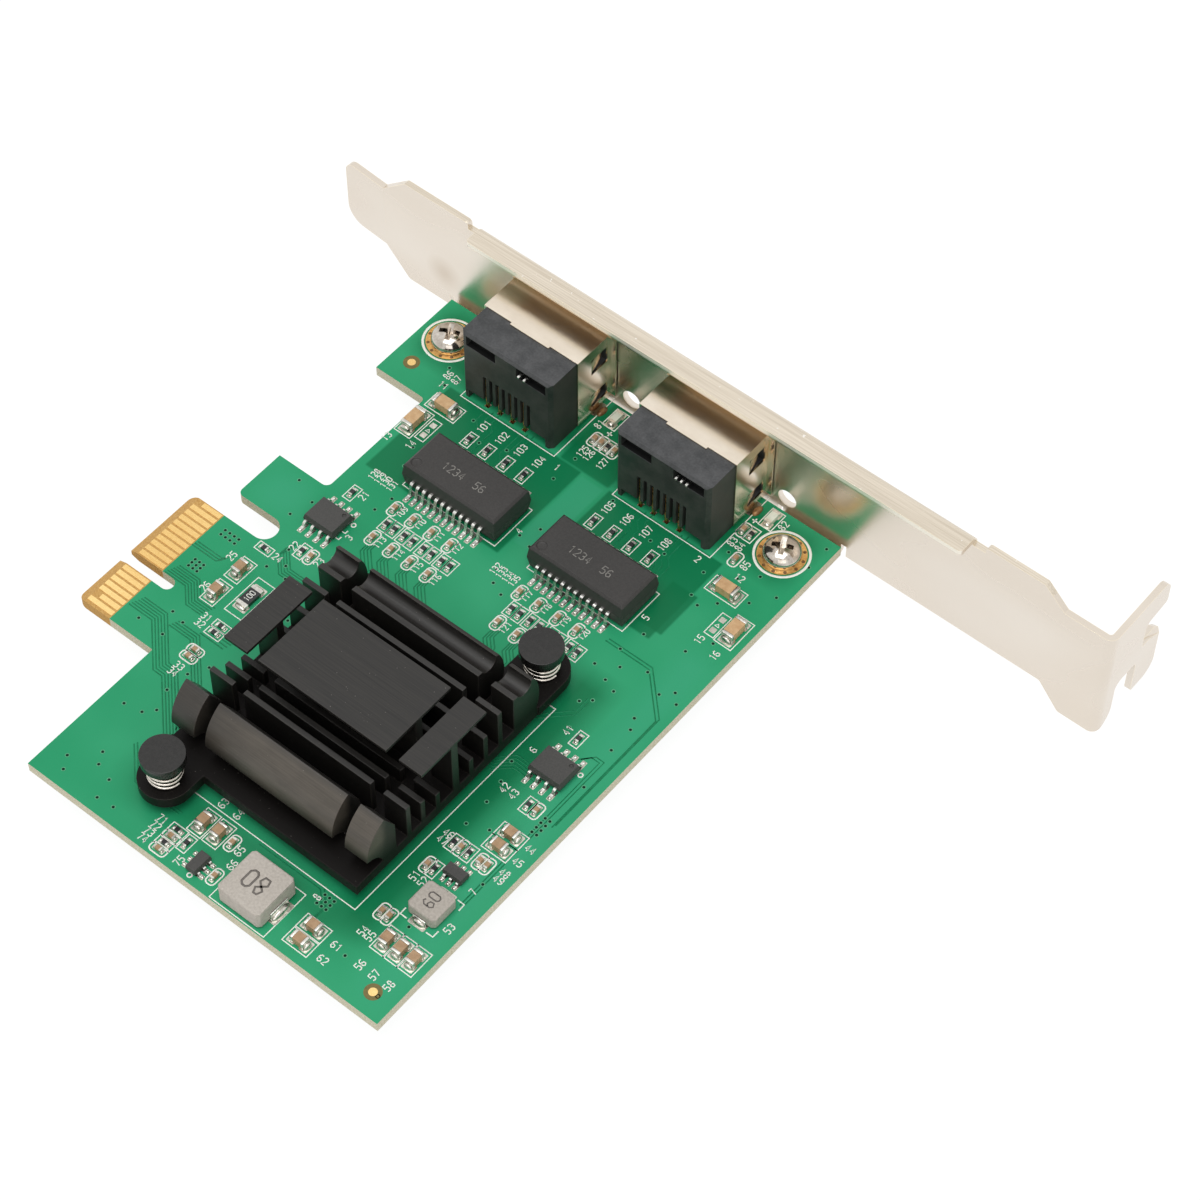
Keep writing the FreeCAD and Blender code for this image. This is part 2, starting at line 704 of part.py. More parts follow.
# Eight-lead memory chips
memory_size = (4.9, 3.9)
memory_z = (0.15, 0.85, 1.6)
memory_pitch = 1.27
memory_toe = 3.1
memory_lead = (0.42, 0.2)
for name, (px, py) in zip(("boot_memory", "settings_memory"), memory_chips):
    body = moulded_body(px, py, memory_size[0], memory_size[1], memory_z[0], memory_z[1], memory_z[2], 0.2)
    save(name + "_body", [one_solid(body)])
    leads = []
    for side in (-1, 1):
        for i in range(4):
            leads.append(gull_lead(px + (i - 1.5) * memory_pitch, py, side, memory_size[1] / 2, memory_toe,
                                   memory_z[1], memory_lead[0], memory_lead[1]))
    save(name + "_leads", leads)

# Small regulators: one lies along X, the other along Y
regulators = ((61.3, -9.2, 0), (37.6, -26.9, 90))
regulator_size = (2.9, 1.6)
regulator_z = (0.1, 0.5, 1.1)
regulator_pitch = 0.95
regulator_toe = 1.4
regulator_lead = (0.4, 0.15)
regulator_bodies = []
regulator_leads = []
for px, py, turn in regulators:
    body = moulded_body(0, 0, regulator_size[0], regulator_size[1], regulator_z[0], regulator_z[1],
                        regulator_z[2], 0.12)
    pieces = []
    for side in (-1, 1):
        for i in range(3):
            pieces.append(gull_lead((i - 1) * regulator_pitch, 0, side, regulator_size[1] / 2, regulator_toe,
                                    regulator_z[1], regulator_lead[0], regulator_lead[1]))
    for piece in [body] + pieces:
        piece.rotate(Vector(0, 0, 0), Vector(0, 0, 1), turn)
        piece.translate(Vector(px, py, 0))
    regulator_bodies.append(one_solid(body))
    regulator_leads.extend(pieces)
save("regulator_bodies", regulator_bodies)
save("regulator_leads", regulator_leads)

# Pressed inductors with plate terminals folded under two opposite sides:
# name, centre, width, height and turn of each
inductors = (("large_inductor", 45.6, -25.6, 6.5, 3.0, 0), ("small_inductor", 62.1, -14.25, 4.2, 2.0, 90))
inductor_corner = 0.4
terminal_gauge = 0.2
terminal_fold = 1.3
for name, px, py, size, height, turn in inductors:
    half = size / 2
    body = block(0, 0, size, size, 0.25, height)
    corner_edges = [e for e in body.Edges if e.BoundBox.ZLength > 1]
    body = body.makeChamfer(inductor_corner, corner_edges)
    top_edges = [e for e in body.Edges if min(v.Z for v in e.Vertexes) > height - 0.01]
    body = body.makeChamfer(0.15, top_edges)
    terminals = []
    for side in (-1, 1):
        inner_x = side * (half + 0.02)
        outer_x = side * (half + 0.02 + terminal_gauge)
        fold_x = side * (half - terminal_fold)
        strip = [
            (fold_x, 0.03),
            (outer_x, 0.03),
            (outer_x, height * 0.45),
            (inner_x, height * 0.45),
            (inner_x, 0.03 + terminal_gauge),
            (fold_x, 0.03 + terminal_gauge),
        ]
        terminals.append(prism_y(strip, -half * 0.45, half * 0.45))
    for piece in [body] + terminals:
        piece.rotate(Vector(0, 0, 0), Vector(0, 0, 1), turn)
        piece.translate(Vector(px, py, 0))
    save(name + "_body", [body])
    save(name + "_terminals", terminals)


def chip_parts(places, length, width, height, end):
    """Two-ended chips at (x, y, turned): bodies between end caps; turned ones lie along Y."""
    bodies = []
    ends = []
    for px, py, turned in places:
        middle = length / 2 - end
        spans = [(-length / 2, -middle), (-middle, middle), (middle, length / 2)]
        for k, (low, high) in enumerate(spans):
            swell = 0.0 if k == 1 else 0.03
            across = width / 2 + swell
            if turned:
                piece = box(px - across, px + across, py + low, py + high, 0.03, 0.03 + height + swell)
            else:
                piece = box(px + low, px + high, py - across, py + across, 0.03, 0.03 + height + swell)
            (bodies if k == 1 else ends).append(piece)
    return bodies, ends


def save_chips(name, places, length, width, height, end):
    bodies, ends = chip_parts(places, length, width, height, end)
    save(name + "_bodies", bodies)
    save(name + "_end_caps", ends)


def save_small_chips(name, places, length, width, height):
    """Small chips, each a single block: their end caps are only a skin."""
    blocks = []
    for px, py, turned in places:
        size_x, size_y = (width, length) if turned else (length, width)
        blocks.append(block(px, py, size_x, size_y, 0.03, 0.03 + height))
    save(name, blocks)


# Filter capacitors beside the jacks
filter_capacitors = [(15.2, 42.25, False), (60.3, 42.25, False), (13.66, 38.05, True), (64.84, 38.05, True)]
save_chips("filter_capacitors", filter_capacitors, 3.2, 1.6, 1.3, 0.5)

# Power capacitors round the edge connector, the regulators and the inductors
power_capacitors = [(12.6, y, True) for y in (7.1, 2.75)]
power_capacitors += [(62.7, y, False) for y in (-1.05, -3.2)]
power_capacitors += [(x, -20.65, True) for x in (60.9, 62.95, 65.0)]
power_capacitors += [(x, -22.3, True) for x in (34.1, 36.5)]
power_capacitors += [(53.4, y, False) for y in (-24.7, -27.0)]
save_chips("power_capacitors", power_capacitors, 2.0, 1.25, 1.15, 0.4)

# Link resistor next to the heatsink
link_resistor = [(16.4, 4.65, True)]
save_chips("link_resistor", link_resistor, 3.2, 1.6, 0.55, 0.5)

# Rows under each transformer, given as distances from the transformer's centre line
row_starts = [px - 5.63 for px in transformer_x]
wide_row = (0, 2.95, 6.0, 8.95)
close_row = (0.85, 2.15, 3.75, 5.1, 6.85, 8.2, 9.8, 11.1)
last_row = (0.85, 3.85, 6.85, 9.8)
small_resistors = []
small_capacitors = []
for start in row_starts:
    small_resistors += [(start + dx, 40.25, True) for dx in wide_row]
    small_resistors += [(start + dx, 23.65, True) for dx in close_row]
    small_capacitors += [(start + dx, 26.15, True) for dx in wide_row]
    small_capacitors += [(start + dx, 21.05, True) for dx in last_row]
small_resistors += [(15.2, 24.65, True), (16.5, 14.0, True), (60.2, 14.2, True), (61.55, 3.4, True)]
small_resistors += [(12.65, 11.35, False), (16.6, -0.65, False), (16.6, -1.85, False)]
small_resistors += [(58.2, -5.95, True), (60.5, -5.95, True), (58.8, -10.1, True), (34.5, -25.65, True)]
small_resistors += [(32.5, -25.0, False), (32.5, -27.2, False), (35.1, 50.35, True), (57.4, 51.0, True)]
small_capacitors += [(17.9, 14.0, True), (62.8, 3.4, True), (16.6, -5.15, False), (16.6, -6.35, False)]
small_capacitors += [(59.3, -5.95, True), (62.2, -5.95, True), (63.25, -5.95, True), (57.8, -10.1, True)]
small_capacitors += [(57.9, -18.1, True), (59.0, -18.1, True), (32.5, -26.1, False), (32.5, -28.25, False)]
small_capacitors += [(33.0, 50.35, True), (34.05, 50.35, True), (36.2, 50.35, True), (56.2, 51.0, True)]
small_capacitors += [(58.2, 46.8, True), (38.55, -22.25, True), (40.05, -26.85, True)]
save_small_chips("small_resistors", small_resistors, 1.1, 0.56, 0.36)
save_small_chips("small_capacitors", small_capacitors, 1.1, 0.56, 0.52)

# Status lamps, each on the +X side of its jack
lamp_offset = 10.4
lamp_y = 54.45
status_lamps = [(x + lamp_offset, lamp_y, True) for x in jack_x]
save_chips("status_lamps", status_lamps, 2.0, 1.0, 0.7, 0.35)
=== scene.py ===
import json
import math
import random

import bmesh
import bpy
from mathutils import Matrix, Vector


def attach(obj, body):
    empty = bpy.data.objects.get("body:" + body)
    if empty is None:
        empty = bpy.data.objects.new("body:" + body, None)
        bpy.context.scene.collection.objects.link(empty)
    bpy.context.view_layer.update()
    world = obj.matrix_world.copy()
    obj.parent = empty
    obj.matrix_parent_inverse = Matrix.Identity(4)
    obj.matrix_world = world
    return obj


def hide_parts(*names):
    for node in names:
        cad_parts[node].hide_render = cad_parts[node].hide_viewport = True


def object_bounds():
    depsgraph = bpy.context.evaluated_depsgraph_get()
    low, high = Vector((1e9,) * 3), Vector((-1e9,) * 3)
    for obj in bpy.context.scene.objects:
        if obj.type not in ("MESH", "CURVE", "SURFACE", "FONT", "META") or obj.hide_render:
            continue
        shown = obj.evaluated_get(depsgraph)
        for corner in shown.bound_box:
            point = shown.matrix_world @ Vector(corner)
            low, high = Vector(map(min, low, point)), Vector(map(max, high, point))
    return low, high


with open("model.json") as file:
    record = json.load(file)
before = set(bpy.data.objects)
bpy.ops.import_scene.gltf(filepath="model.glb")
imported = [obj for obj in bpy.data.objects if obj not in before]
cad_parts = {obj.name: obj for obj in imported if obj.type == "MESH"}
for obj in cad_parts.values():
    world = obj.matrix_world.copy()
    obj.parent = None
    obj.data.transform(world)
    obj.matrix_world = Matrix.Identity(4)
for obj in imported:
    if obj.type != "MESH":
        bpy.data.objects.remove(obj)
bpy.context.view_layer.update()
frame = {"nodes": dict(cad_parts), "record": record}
card = frame["nodes"]
MM = 0.001


# Colours and shader nodes

def paint(red, green, blue):
    """A colour from 0 to 255 as it looks, in the linear values that shaders take."""
    def linear(value):
        value = value / 255
        return value / 12.92 if value <= 0.04045 else ((value + 0.055) / 1.055) ** 2.4
    return (linear(red), linear(green), linear(blue), 1.0)


def add_node(tree, kind, values=None, **settings):
    """Adds a node with its settings; values go to its inputs, as numbers or as links from other outputs."""
    made = tree.nodes.new(kind)
    for key, value in settings.items():
        setattr(made, key, value)
    for key, value in (values or {}).items():
        if isinstance(value, bpy.types.NodeSocket):
            tree.links.new(value, made.inputs[key])
        else:
            made.inputs[key].default_value = value
    return made


def maths(tree, operation, first, second=0.0, clamp=False):
    made = add_node(tree, "ShaderNodeMath", {0: first, 1: second}, operation=operation, use_clamp=clamp)
    return made.outputs[0]


def product(tree, first, *others):
    for other in others:
        first = maths(tree, "MULTIPLY", first, other)
    return first


def above(tree, value, limit):
    return maths(tree, "GREATER_THAN", value, limit)


def below(tree, value, limit):
    return maths(tree, "LESS_THAN", value, limit)


def blend_colours(tree, factor, first, second):
    mix = add_node(tree, "ShaderNodeMix", {"Factor": factor, 6: first, 7: second}, data_type="RGBA")
    return mix.outputs[2]


def ramp(tree, value, low, high, to_low=0.0, to_high=1.0):
    limits = {"Value": value, "From Min": low, "From Max": high, "To Min": to_low, "To Max": to_high}
    return add_node(tree, "ShaderNodeMapRange", limits).outputs["Result"]


def two_tone(tree, tone, dark, light, low=0.3, high=0.7):
    """Runs from a dark to a light colour as the tone goes from low to high."""
    return blend_colours(tree, ramp(tree, tone, low, high), paint(*dark), paint(*light))


def object_point(tree):
    return add_node(tree, "ShaderNodeTexCoord").outputs["Object"]


def place_axes(tree):
    """X, Y and Z of the place on the card, in metres."""
    return add_node(tree, "ShaderNodeSeparateXYZ", {0: object_point(tree)}).outputs


def facing_axes(tree):
    """X, Y and Z of the direction that the surface faces."""
    normal = add_node(tree, "ShaderNodeNewGeometry").outputs["Normal"]
    return add_node(tree, "ShaderNodeSeparateXYZ", {0: normal}).outputs


def shader_group(name, inputs, outputs):
    group = bpy.data.node_groups.new(name, "ShaderNodeTree")
    for label, kind, default in inputs:
        socket = group.interface.new_socket(name=label, in_out="INPUT", socket_type=kind)
        socket.default_value = default
    for label in outputs:
        group.interface.new_socket(name=label, in_out="OUTPUT", socket_type="NodeSocketFloat")
    return group, group.nodes.new("NodeGroupInput").outputs, group.nodes.new("NodeGroupOutput").inputs


def build_grain_group():
    """Fine grain on object coordinates, stretched along any axis, and a wide cloud that never is."""
    group, given, result = shader_group(
        "surface_grain",
        [("Grains per metre", "NodeSocketFloat", 2000.0), ("Stretch", "NodeSocketVector", (1, 1, 1)),
         ("Detail", "NodeSocketFloat", 3.0)],
        ["Tone", "Cloud"])
    place = object_point(group)
    stretched = add_node(group, "ShaderNodeVectorMath", {0: place, 1: given["Stretch"]},
                         operation="MULTIPLY").outputs[0]
    fine = add_node(group, "ShaderNodeTexNoise", {"Vector": stretched, "Scale": given["Grains per metre"],
                                                 "Detail": given["Detail"], "Roughness": 0.6})
    wide = add_node(group, "ShaderNodeTexNoise", {"Vector": place, "Scale": 60.0, "Detail": 2.0})
    group.links.new(fine.outputs[0], result["Tone"])
    group.links.new(wide.outputs[0], result["Cloud"])
    return group


def build_edge_group():
    """Mask that is 1 on outer edges, where handling polishes or bares a surface and where a painted
    highlight stands for light caught on the edge.
    """
    group, given, result = shader_group(
        "edge_wear", [("Width", "NodeSocketFloat", 0.0002), ("Strength", "NodeSocketFloat", 1.0)], ["Mask"])
    rounded = add_node(group, "ShaderNodeBevel", {"Radius": given["Width"]}, samples=4).outputs[0]
    flat = add_node(group, "ShaderNodeNewGeometry").outputs["Normal"]
    match = add_node(group, "ShaderNodeVectorMath", {0: rounded, 1: flat}, operation="DOT_PRODUCT")
    turned = maths(group, "SUBTRACT", 1.0, match.outputs["Value"])
    group.links.new(maths(group, "MULTIPLY", turned, given["Strength"], clamp=True), result["Mask"])
    return group


zone_sides = ("Left", "Right", "Bottom", "Top", "Softness")


def build_zone_group():
    """Mask that is 1 inside an upright rectangle seen along Z, with soft sides."""
    inputs = [(side, "NodeSocketFloat", 0.01) for side in zone_sides]
    group, given, result = shader_group("board_zone", inputs, ["Mask"])
    place = place_axes(group)
    mask = 1.0
    for axis, low, high in (("X", "Left", "Right"), ("Y", "Bottom", "Top")):
        for first, second in ((place[axis], given[low]), (given[high], place[axis])):
            inside = maths(group, "SUBTRACT", first, second)
            mask = product(group, mask, maths(group, "DIVIDE", inside, given["Softness"], clamp=True))
    group.links.new(mask, result["Mask"])
    return group


grain_group = build_grain_group()
edge_group = build_edge_group()
zone_group = build_zone_group()


def use_group(tree, group, **values):
    made = tree.nodes.new("ShaderNodeGroup")
    made.node_tree = group
    for key, value in values.items():
        made.inputs[key.replace("_", " ")].default_value = value
    return made.outputs


def grain(tree, per_metre, stretch=(1, 1, 1), detail=3.0):
    return use_group(tree, grain_group, Grains_per_metre=per_metre, Stretch=stretch, Detail=detail)


def worn_edges(tree, width, strength):
    """Mask of the worn edges, with their painted highlight, within a width in millimetres."""
    return use_group(tree, edge_group, Width=width * MM, Strength=strength)["Mask"]


def mixed_tone(tree, first, share, second):
    """Mixes two tones, the first by its share and the second by the rest."""
    return maths(tree, "ADD", product(tree, first, share), product(tree, second, 1 - share))


def new_finish(name, metal=0.0, specular=0.5):
    material = bpy.data.materials.new(name)
    material.use_nodes = True
    sockets = material.node_tree.nodes["Principled BSDF"].inputs
    sockets["Metallic"].default_value = metal
    sockets["Specular IOR Level"].default_value = specular
    return material, material.node_tree, sockets


# Depth of the relief that the fine grain gives every finish, in millimetres
grain_depth = 0.02


def dress(tree, sockets, colour, rough, height, strength):
    """Joins a colour, a roughness and a fine relief to the surface."""
    relief = add_node(tree, "ShaderNodeBump",
                      {"Height": height, "Strength": strength, "Distance": grain_depth * MM})
    for label, value in (("Base Color", colour), ("Roughness", rough), ("Normal", relief.outputs[0])):
        tree.links.new(value, sockets[label])


def plain_finish(name, dark, light, rough, metal=0.0, grains=2500.0, relief=0.15, stretch=(1, 1, 1),
                 rough_spread=0.1, specular=0.5):
    """Finish with a grained colour between two tones, uneven roughness and a fine relief."""
    material, tree, sockets = new_finish(name, metal, specular)
    grained = grain(tree, grains, stretch)
    tone = mixed_tone(tree, grained["Tone"], 0.6, grained["Cloud"])
    roughness = ramp(tree, tone, 0.3, 0.7, rough - rough_spread, rough + rough_spread)
    dress(tree, sockets, two_tone(tree, tone, dark, light, 0.35, 0.65), roughness, grained["Tone"], relief)
    return material


# Finishes; places on the card are in millimetres

# Copper areas under the lacquer show darker or paler, and the soft dark zones by the jacks, the bracket and
# the cooler are painted shade: left, right, bottom, top and softness
dark_copper_and_shade_zones = ((13.3, 35.2, 28.9, 45.4, 0.3), (39.4, 57.6, 30.6, 45.4, 0.3), (54.2, 58.4, 32.0, 39.5, 0.3),
              (3.8, 66.5, 45.4, 57.0, 3.0), (31.2, 39.4, 45.2, 57.0, 0.4), (20.0, 60.0, -27.0, -17.0, 6.0),
              (52.0, 61.0, -24.0, 24.0, 3.5), (54.5, 58.5, -14.0, 6.0, 2.5))
pale_zones = ((35.2, 39.2, 31.5, 45.0, 0.4), (4.4, 13.0, 15.2, 23.2, 3.0), (60.5, 68.0, -29.3, 34.0, 3.0))
bare_tongue = (-1.0, 5.35, -8.6, 12.2, 0.05)


def board_finish():
    """Green lacquer over copper areas, with painted shade near the jacks and the cooler; cut edges show the
    laminate, the tongue's tip is bare and golden.
    """
    material, tree, sockets = new_finish("green_lacquer", specular=0.2)

    def zone_mask(zone):
        return use_group(tree, zone_group, **{side: v * MM for side, v in zip(zone_sides, zone)})["Mask"]

    lacquer = grain(tree, 900.0)
    green = two_tone(tree, lacquer["Cloud"], (34, 152, 103), (54, 166, 118))
    # The dark tint is partly copper under the lacquer and partly painted shade near the jacks, the bracket
    # and the cooler
    for zones, tint in ((dark_copper_and_shade_zones, paint(0, 112, 68)), (pale_zones, paint(54, 164, 120))):
        for zone in zones:
            green = blend_colours(tree, product(tree, zone_mask(zone), 0.85), green, tint)
    flat = above(tree, maths(tree, "ABSOLUTE", facing_axes(tree)["Z"]), 0.9)
    fibres = grain(tree, 3500.0, (1, 1, 6))["Tone"]
    laminate = two_tone(tree, fibres, (188, 182, 146), (240, 236, 220), 0.35, 0.65)
    golden = two_tone(tree, fibres, (188, 140, 74), (220, 178, 110))
    colour = blend_colours(tree, flat, laminate, green)
    colour = blend_colours(tree, zone_mask(bare_tongue), colour, golden)
    dress(tree, sockets, colour, ramp(tree, flat, 0.0, 1.0, 0.75, 0.34), lacquer["Tone"], 0.06)
    return material


# The folded flange along the top of the bracket starts at this height
flange_low = 14.6
# The flange's sheared free edge gets a painted highlight on the card's side of this place along Y and above
# this height
flange_free_side, flange_bright_low = 56.0, 15.5
# Middle of a soft brown smudge on the plate, near the toe, and the distances over which it fades
smudge_place = (2.3, 57.2, 3.2)
smudge_fade = (0.5, 3.2)


def bracket_finish():
    """Satin nickel, smooth on the plate and brushed along the folded flange, with painted glints on the
    flange and paler sheared edges that carry a painted highlight.
    """
    material, tree, sockets = new_finish("satin_nickel_sheet", 1.0)
    place = place_axes(tree)
    facing = facing_axes(tree)
    smooth = grain(tree, 90.0, (0.5, 1, 1), 1.0)["Tone"]
    plate = two_tone(tree, smooth, (223, 213, 200), (230, 222, 211))
    away = add_node(tree, "ShaderNodeVectorMath", {0: object_point(tree), 1: Vector(smudge_place) * MM},
                    operation="DISTANCE").outputs["Value"]
    smudge = ramp(tree, away, smudge_fade[0] * MM, smudge_fade[1] * MM, 0.36, 0.0)
    inward = below(tree, facing["Y"], -0.5)
    plate = blend_colours(tree, product(tree, smudge, inward), plate, paint(176, 156, 130))
    brushed = grain(tree, 5200.0, (0.015, 1, 1))["Tone"]
    lines = two_tone(tree, brushed, (211, 200, 183), (231, 221, 205), 0.35, 0.65)
    # Painted glints: tiny bright specks on the brushed flange stand for light caught by the grain
    glint_specks = grain(tree, 1700.0, detail=1.0)["Tone"]
    lines = blend_colours(tree, ramp(tree, glint_specks, 0.74, 0.78), lines, paint(246, 242, 235))
    on_flange = product(tree, above(tree, facing["Z"], 0.7), above(tree, place["Z"], flange_low * MM))
    colour = blend_colours(tree, on_flange, plate, lines)
    # Painted highlight along the flange's sheared free edge, with less metal there
    free_edge_highlight = product(tree, inward, above(tree, place["Z"], flange_bright_low * MM),
                        below(tree, place["Y"], flange_free_side * MM))
    colour = blend_colours(tree, free_edge_highlight, colour, paint(252, 246, 232))
    tree.links.new(ramp(tree, free_edge_highlight, 0.0, 1.0, 1.0, 0.4), sockets["Metallic"])
    # Paler worn edges that also carry a painted highlight
    colour = blend_colours(tree, worn_edges(tree, 0.16, 2.4), colour, paint(250, 238, 210))
    relief = product(tree, brushed, on_flange)
    dress(tree, sockets, colour, ramp(tree, smooth, 0.3, 0.7, 0.25, 0.33), relief, 0.06)
    return material


# The roof of each shield has the shade under the flange painted on as a reflection: where it darkens and
# where it clears along Y
shade_start, shade_deep, shade_clear = 53.0, 54.3, 56.9
# How far the shade's border wanders with the grain
shade_wander = 1.2


def shield_finish():
    """Bright nickel sheet with a painted reflection of the shade under the bracket's flange on its roof, and
    golden cut edges.
    """
    material, tree, sockets = new_finish("nickel_shield", 1.0)
    tone = grain(tree, 420.0, (0.6, 1, 1))["Tone"]
    nickel = two_tone(tree, tone, (228, 216, 199), (237, 227, 212))
    wander = product(tree, maths(tree, "SUBTRACT", tone, 0.5), shade_wander * MM)
    depth = maths(tree, "ADD", place_axes(tree)["Y"], wander)
    brown = two_tone(tree, depth, (186, 174, 158), (214, 190, 154), shade_deep * MM, shade_clear * MM)
    roof = above(tree, facing_axes(tree)["Z"], 0.8)
    # Painted reflection of the shade under the flange, browner towards the flange
    shaded = product(tree, ramp(tree, depth, shade_start * MM, shade_deep * MM), roof)
    colour = blend_colours(tree, shaded, nickel, brown)
    # Golden cut edges that also carry a painted highlight
    colour = blend_colours(tree, worn_edges(tree, 0.12, 1.5), colour, paint(206, 172, 116))
    dress(tree, sockets, colour, ramp(tree, tone, 0.3, 0.7, 0.17, 0.24), tone, 0.02)
    return material


# Cooler: where the rolled fin on the open side starts along Y, where its painted sheen brightens along X,
# and the heights over which the painted shade low down gives way
rolled_fin, rolled_sheen_span, low_shade_height = (-13.4, -14.4), (27.0, 37.0), (3.6, 7.5)


def heatsink_finish():
    """Black anodising with brushed lines along the fins, a painted brownish sheen on the rolled fin and
    painted shade low down.
    """
    material, tree, sockets = new_finish("black_anodising")
    place = place_axes(tree)
    brushed = grain(tree, 5600.0, (0.02, 1, 1))["Tone"]
    streak = ramp(tree, brushed, 0.35, 0.65)
    bloom = ramp(tree, grain(tree, 700.0, (0.4, 1, 1))["Tone"], 0.3, 0.7)
    black = blend_colours(tree, streak, paint(18, 17, 16), paint(34, 32, 29))
    brown = blend_colours(tree, mixed_tone(tree, streak, 0.5, bloom), paint(66, 61, 54), paint(88, 82, 74))
    painted_sheen = ramp(tree, place["X"], rolled_sheen_span[0] * MM, rolled_sheen_span[1] * MM, 0.3, 1.0)
    clear_of_low_shade = ramp(tree, place["Z"], low_shade_height[0] * MM, low_shade_height[1] * MM)
    rolled = ramp(tree, place["Y"], rolled_fin[0] * MM, rolled_fin[1] * MM)
    # Painted sheen: the rolled fin is browner and lighter where light falls on it
    colour = blend_colours(tree, product(tree, rolled, painted_sheen, clear_of_low_shade), black, brown)
    # Painted shade on the low base between the fins
    colour = blend_colours(tree, clear_of_low_shade, paint(19, 17, 16), colour)
    dust = ramp(tree, grain(tree, 3800.0, detail=1.0)["Tone"], 0.77, 0.8, 0.0, 0.5)
    colour = blend_colours(tree, dust, colour, paint(150, 146, 140))
    # Paler worn edges that also carry a painted highlight
    colour = blend_colours(tree, worn_edges(tree, 0.12, 1.6), colour, paint(92, 85, 78))
    tree.links.new(ramp(tree, clear_of_low_shade, 0.0, 1.0, 0.12, 0.5), sockets["Specular IOR Level"])
    dress(tree, sockets, colour, ramp(tree, brushed, 0.3, 0.7, 0.34, 0.46), brushed, 0.3)
    return material


# Rear recesses of the jacks, where the plastic is in deep shade: lowest and highest Y and Z
recess_span = {"Y": (45.56, 46.5), "Z": (10.0, 11.95)}


def jack_finish():
    """Black moulded plastic with a cool, cloudy bloom, painted light on the tops and painted shade in the
    rear recesses.
    """
    material, tree, sockets = new_finish("black_moulded_plastic", specular=0.4)
    place = place_axes(tree)
    facing = facing_axes(tree)
    fine = grain(tree, 3500.0)["Tone"]
    tone = mixed_tone(tree, fine, 0.35, grain(tree, 420.0)["Tone"])
    # Lit and shaded copies of the plastic: the tops are painted lighter than the walls
    walls = two_tone(tree, tone, (38, 40, 39), (62, 64, 61), 0.38, 0.62)
    top = two_tone(tree, tone, (56, 58, 60), (82, 83, 85), 0.38, 0.62)
    colour = blend_colours(tree, ramp(tree, facing["Z"], 0.3, 0.9), walls, top)
    deep = below(tree, maths(tree, "ABSOLUTE", facing["X"]), 0.5)
    for axis, (low, high) in recess_span.items():
        deep = product(tree, deep, above(tree, place[axis], low * MM), below(tree, place[axis], high * MM))
    # Painted shade: near black in the rear recesses
    colour = blend_colours(tree, deep, colour, paint(10, 11, 11))
    dress(tree, sockets, colour, ramp(tree, tone, 0.3, 0.7, 0.42, 0.58), fine, 0.3)
    return material


# Each slot's finish; a plain one gives a dark and a light colour, roughness, metal, grains per metre, relief
finishes = {
    "board_lacquer": board_finish(),
    "gold_plating": plain_finish("gold_plating", (226, 180, 104), (252, 222, 156), 0.34, 1, 4000, 0.1,
                                 stretch=(1, 8, 8)),
    "bracket_steel": bracket_finish(),
    "screw_chrome": plain_finish("bright_screw_plating", (166, 156, 146), (218, 212, 204), 0.13, 1, 1500,
                                 0.08, rough_spread=0.04),
    "carrier_laminate": plain_finish("carrier_laminate", (28, 96, 60), (50, 130, 86), 0.4),
    "chip_epoxy": plain_finish("charcoal_epoxy", (62, 62, 61), (80, 79, 77), 0.55, 0, 6000, 0.35,
                               specular=0.35),
    "thermal_pad": plain_finish("grey_thermal_pad", (140, 140, 146), (170, 170, 176), 0.7),
    "heatsink_black": heatsink_finish(),
    "pin_plastic": plain_finish("black_nylon", (18, 18, 18), (32, 31, 30), 0.27, relief=0.14),
    "spring_steel": plain_finish("drawn_spring_wire", (176, 170, 162), (226, 220, 210), 0.22, 1),
    "jack_plastic": jack_finish(),
    "jack_shield": shield_finish(),
    "contact_copper": plain_finish("copper_contact_wire", (176, 112, 66), (226, 166, 112), 0.3, 1),
    "transformer_epoxy": plain_finish("black_transformer_epoxy", (50, 49, 48), (66, 64, 63), 0.5, 0, 5000,
                                      0.3, specular=0.35),
    "tin_leads": plain_finish("tinned_leads", (190, 189, 186), (236, 235, 230), 0.26, 1),
    "tin_ends": plain_finish("tinned_end_caps", (186, 183, 176), (234, 232, 226), 0.34, 1),
    "inductor_grey": plain_finish("pressed_grey_powder", (168, 161, 152), (198, 191, 182), 0.6, 0, 3000, 0.4,
                                  specular=0.3),
    "tan_ceramic": plain_finish("tan_ceramic", (196, 156, 112), (220, 186, 142), 0.42, 0, 1500),
    "brown_ceramic": plain_finish("brown_ceramic", (160, 128, 94), (188, 156, 122), 0.42, 0, 1500),
    "resistor_black": plain_finish("glazed_black_film", (30, 30, 32), (50, 50, 52), 0.3),
    "lamp_epoxy": plain_finish("clear_lamp_epoxy", (206, 214, 196), (236, 240, 226), 0.2, 0, 900),
}
white_ink = plain_finish("white_ink", (238, 240, 230), (252, 252, 246), 0.5, 0, 5000, 0.1)
dim_ink = plain_finish("pale_marking_ink", (122, 120, 116), (150, 147, 142), 0.6, 0, 5000, 0.1)
dark_ink = plain_finish("dark_marking_ink", (92, 88, 84), (116, 110, 104), 0.6, 0, 5000, 0.1)
trace_lacquer = plain_finish("lacquer_over_traces", (12, 116, 74), (30, 136, 92), 0.34, 0, 900, 0.05,
                             specular=0.2)
pad_metal = plain_finish("soldered_pads", (176, 174, 164), (226, 223, 212), 0.3, 1, 2200, 0.2)
bright_solder = plain_finish("bright_solder", (168, 165, 156), (236, 233, 225), 0.16, 1, 1500, 0.1)
ring_gold = plain_finish("gold_screw_ring", (196, 140, 70), (238, 196, 130), 0.34, 1, 3000)
via_rim = plain_finish("lacquered_via_rim", (60, 150, 106), (96, 176, 134), 0.35, 0, 3000, 0.05)
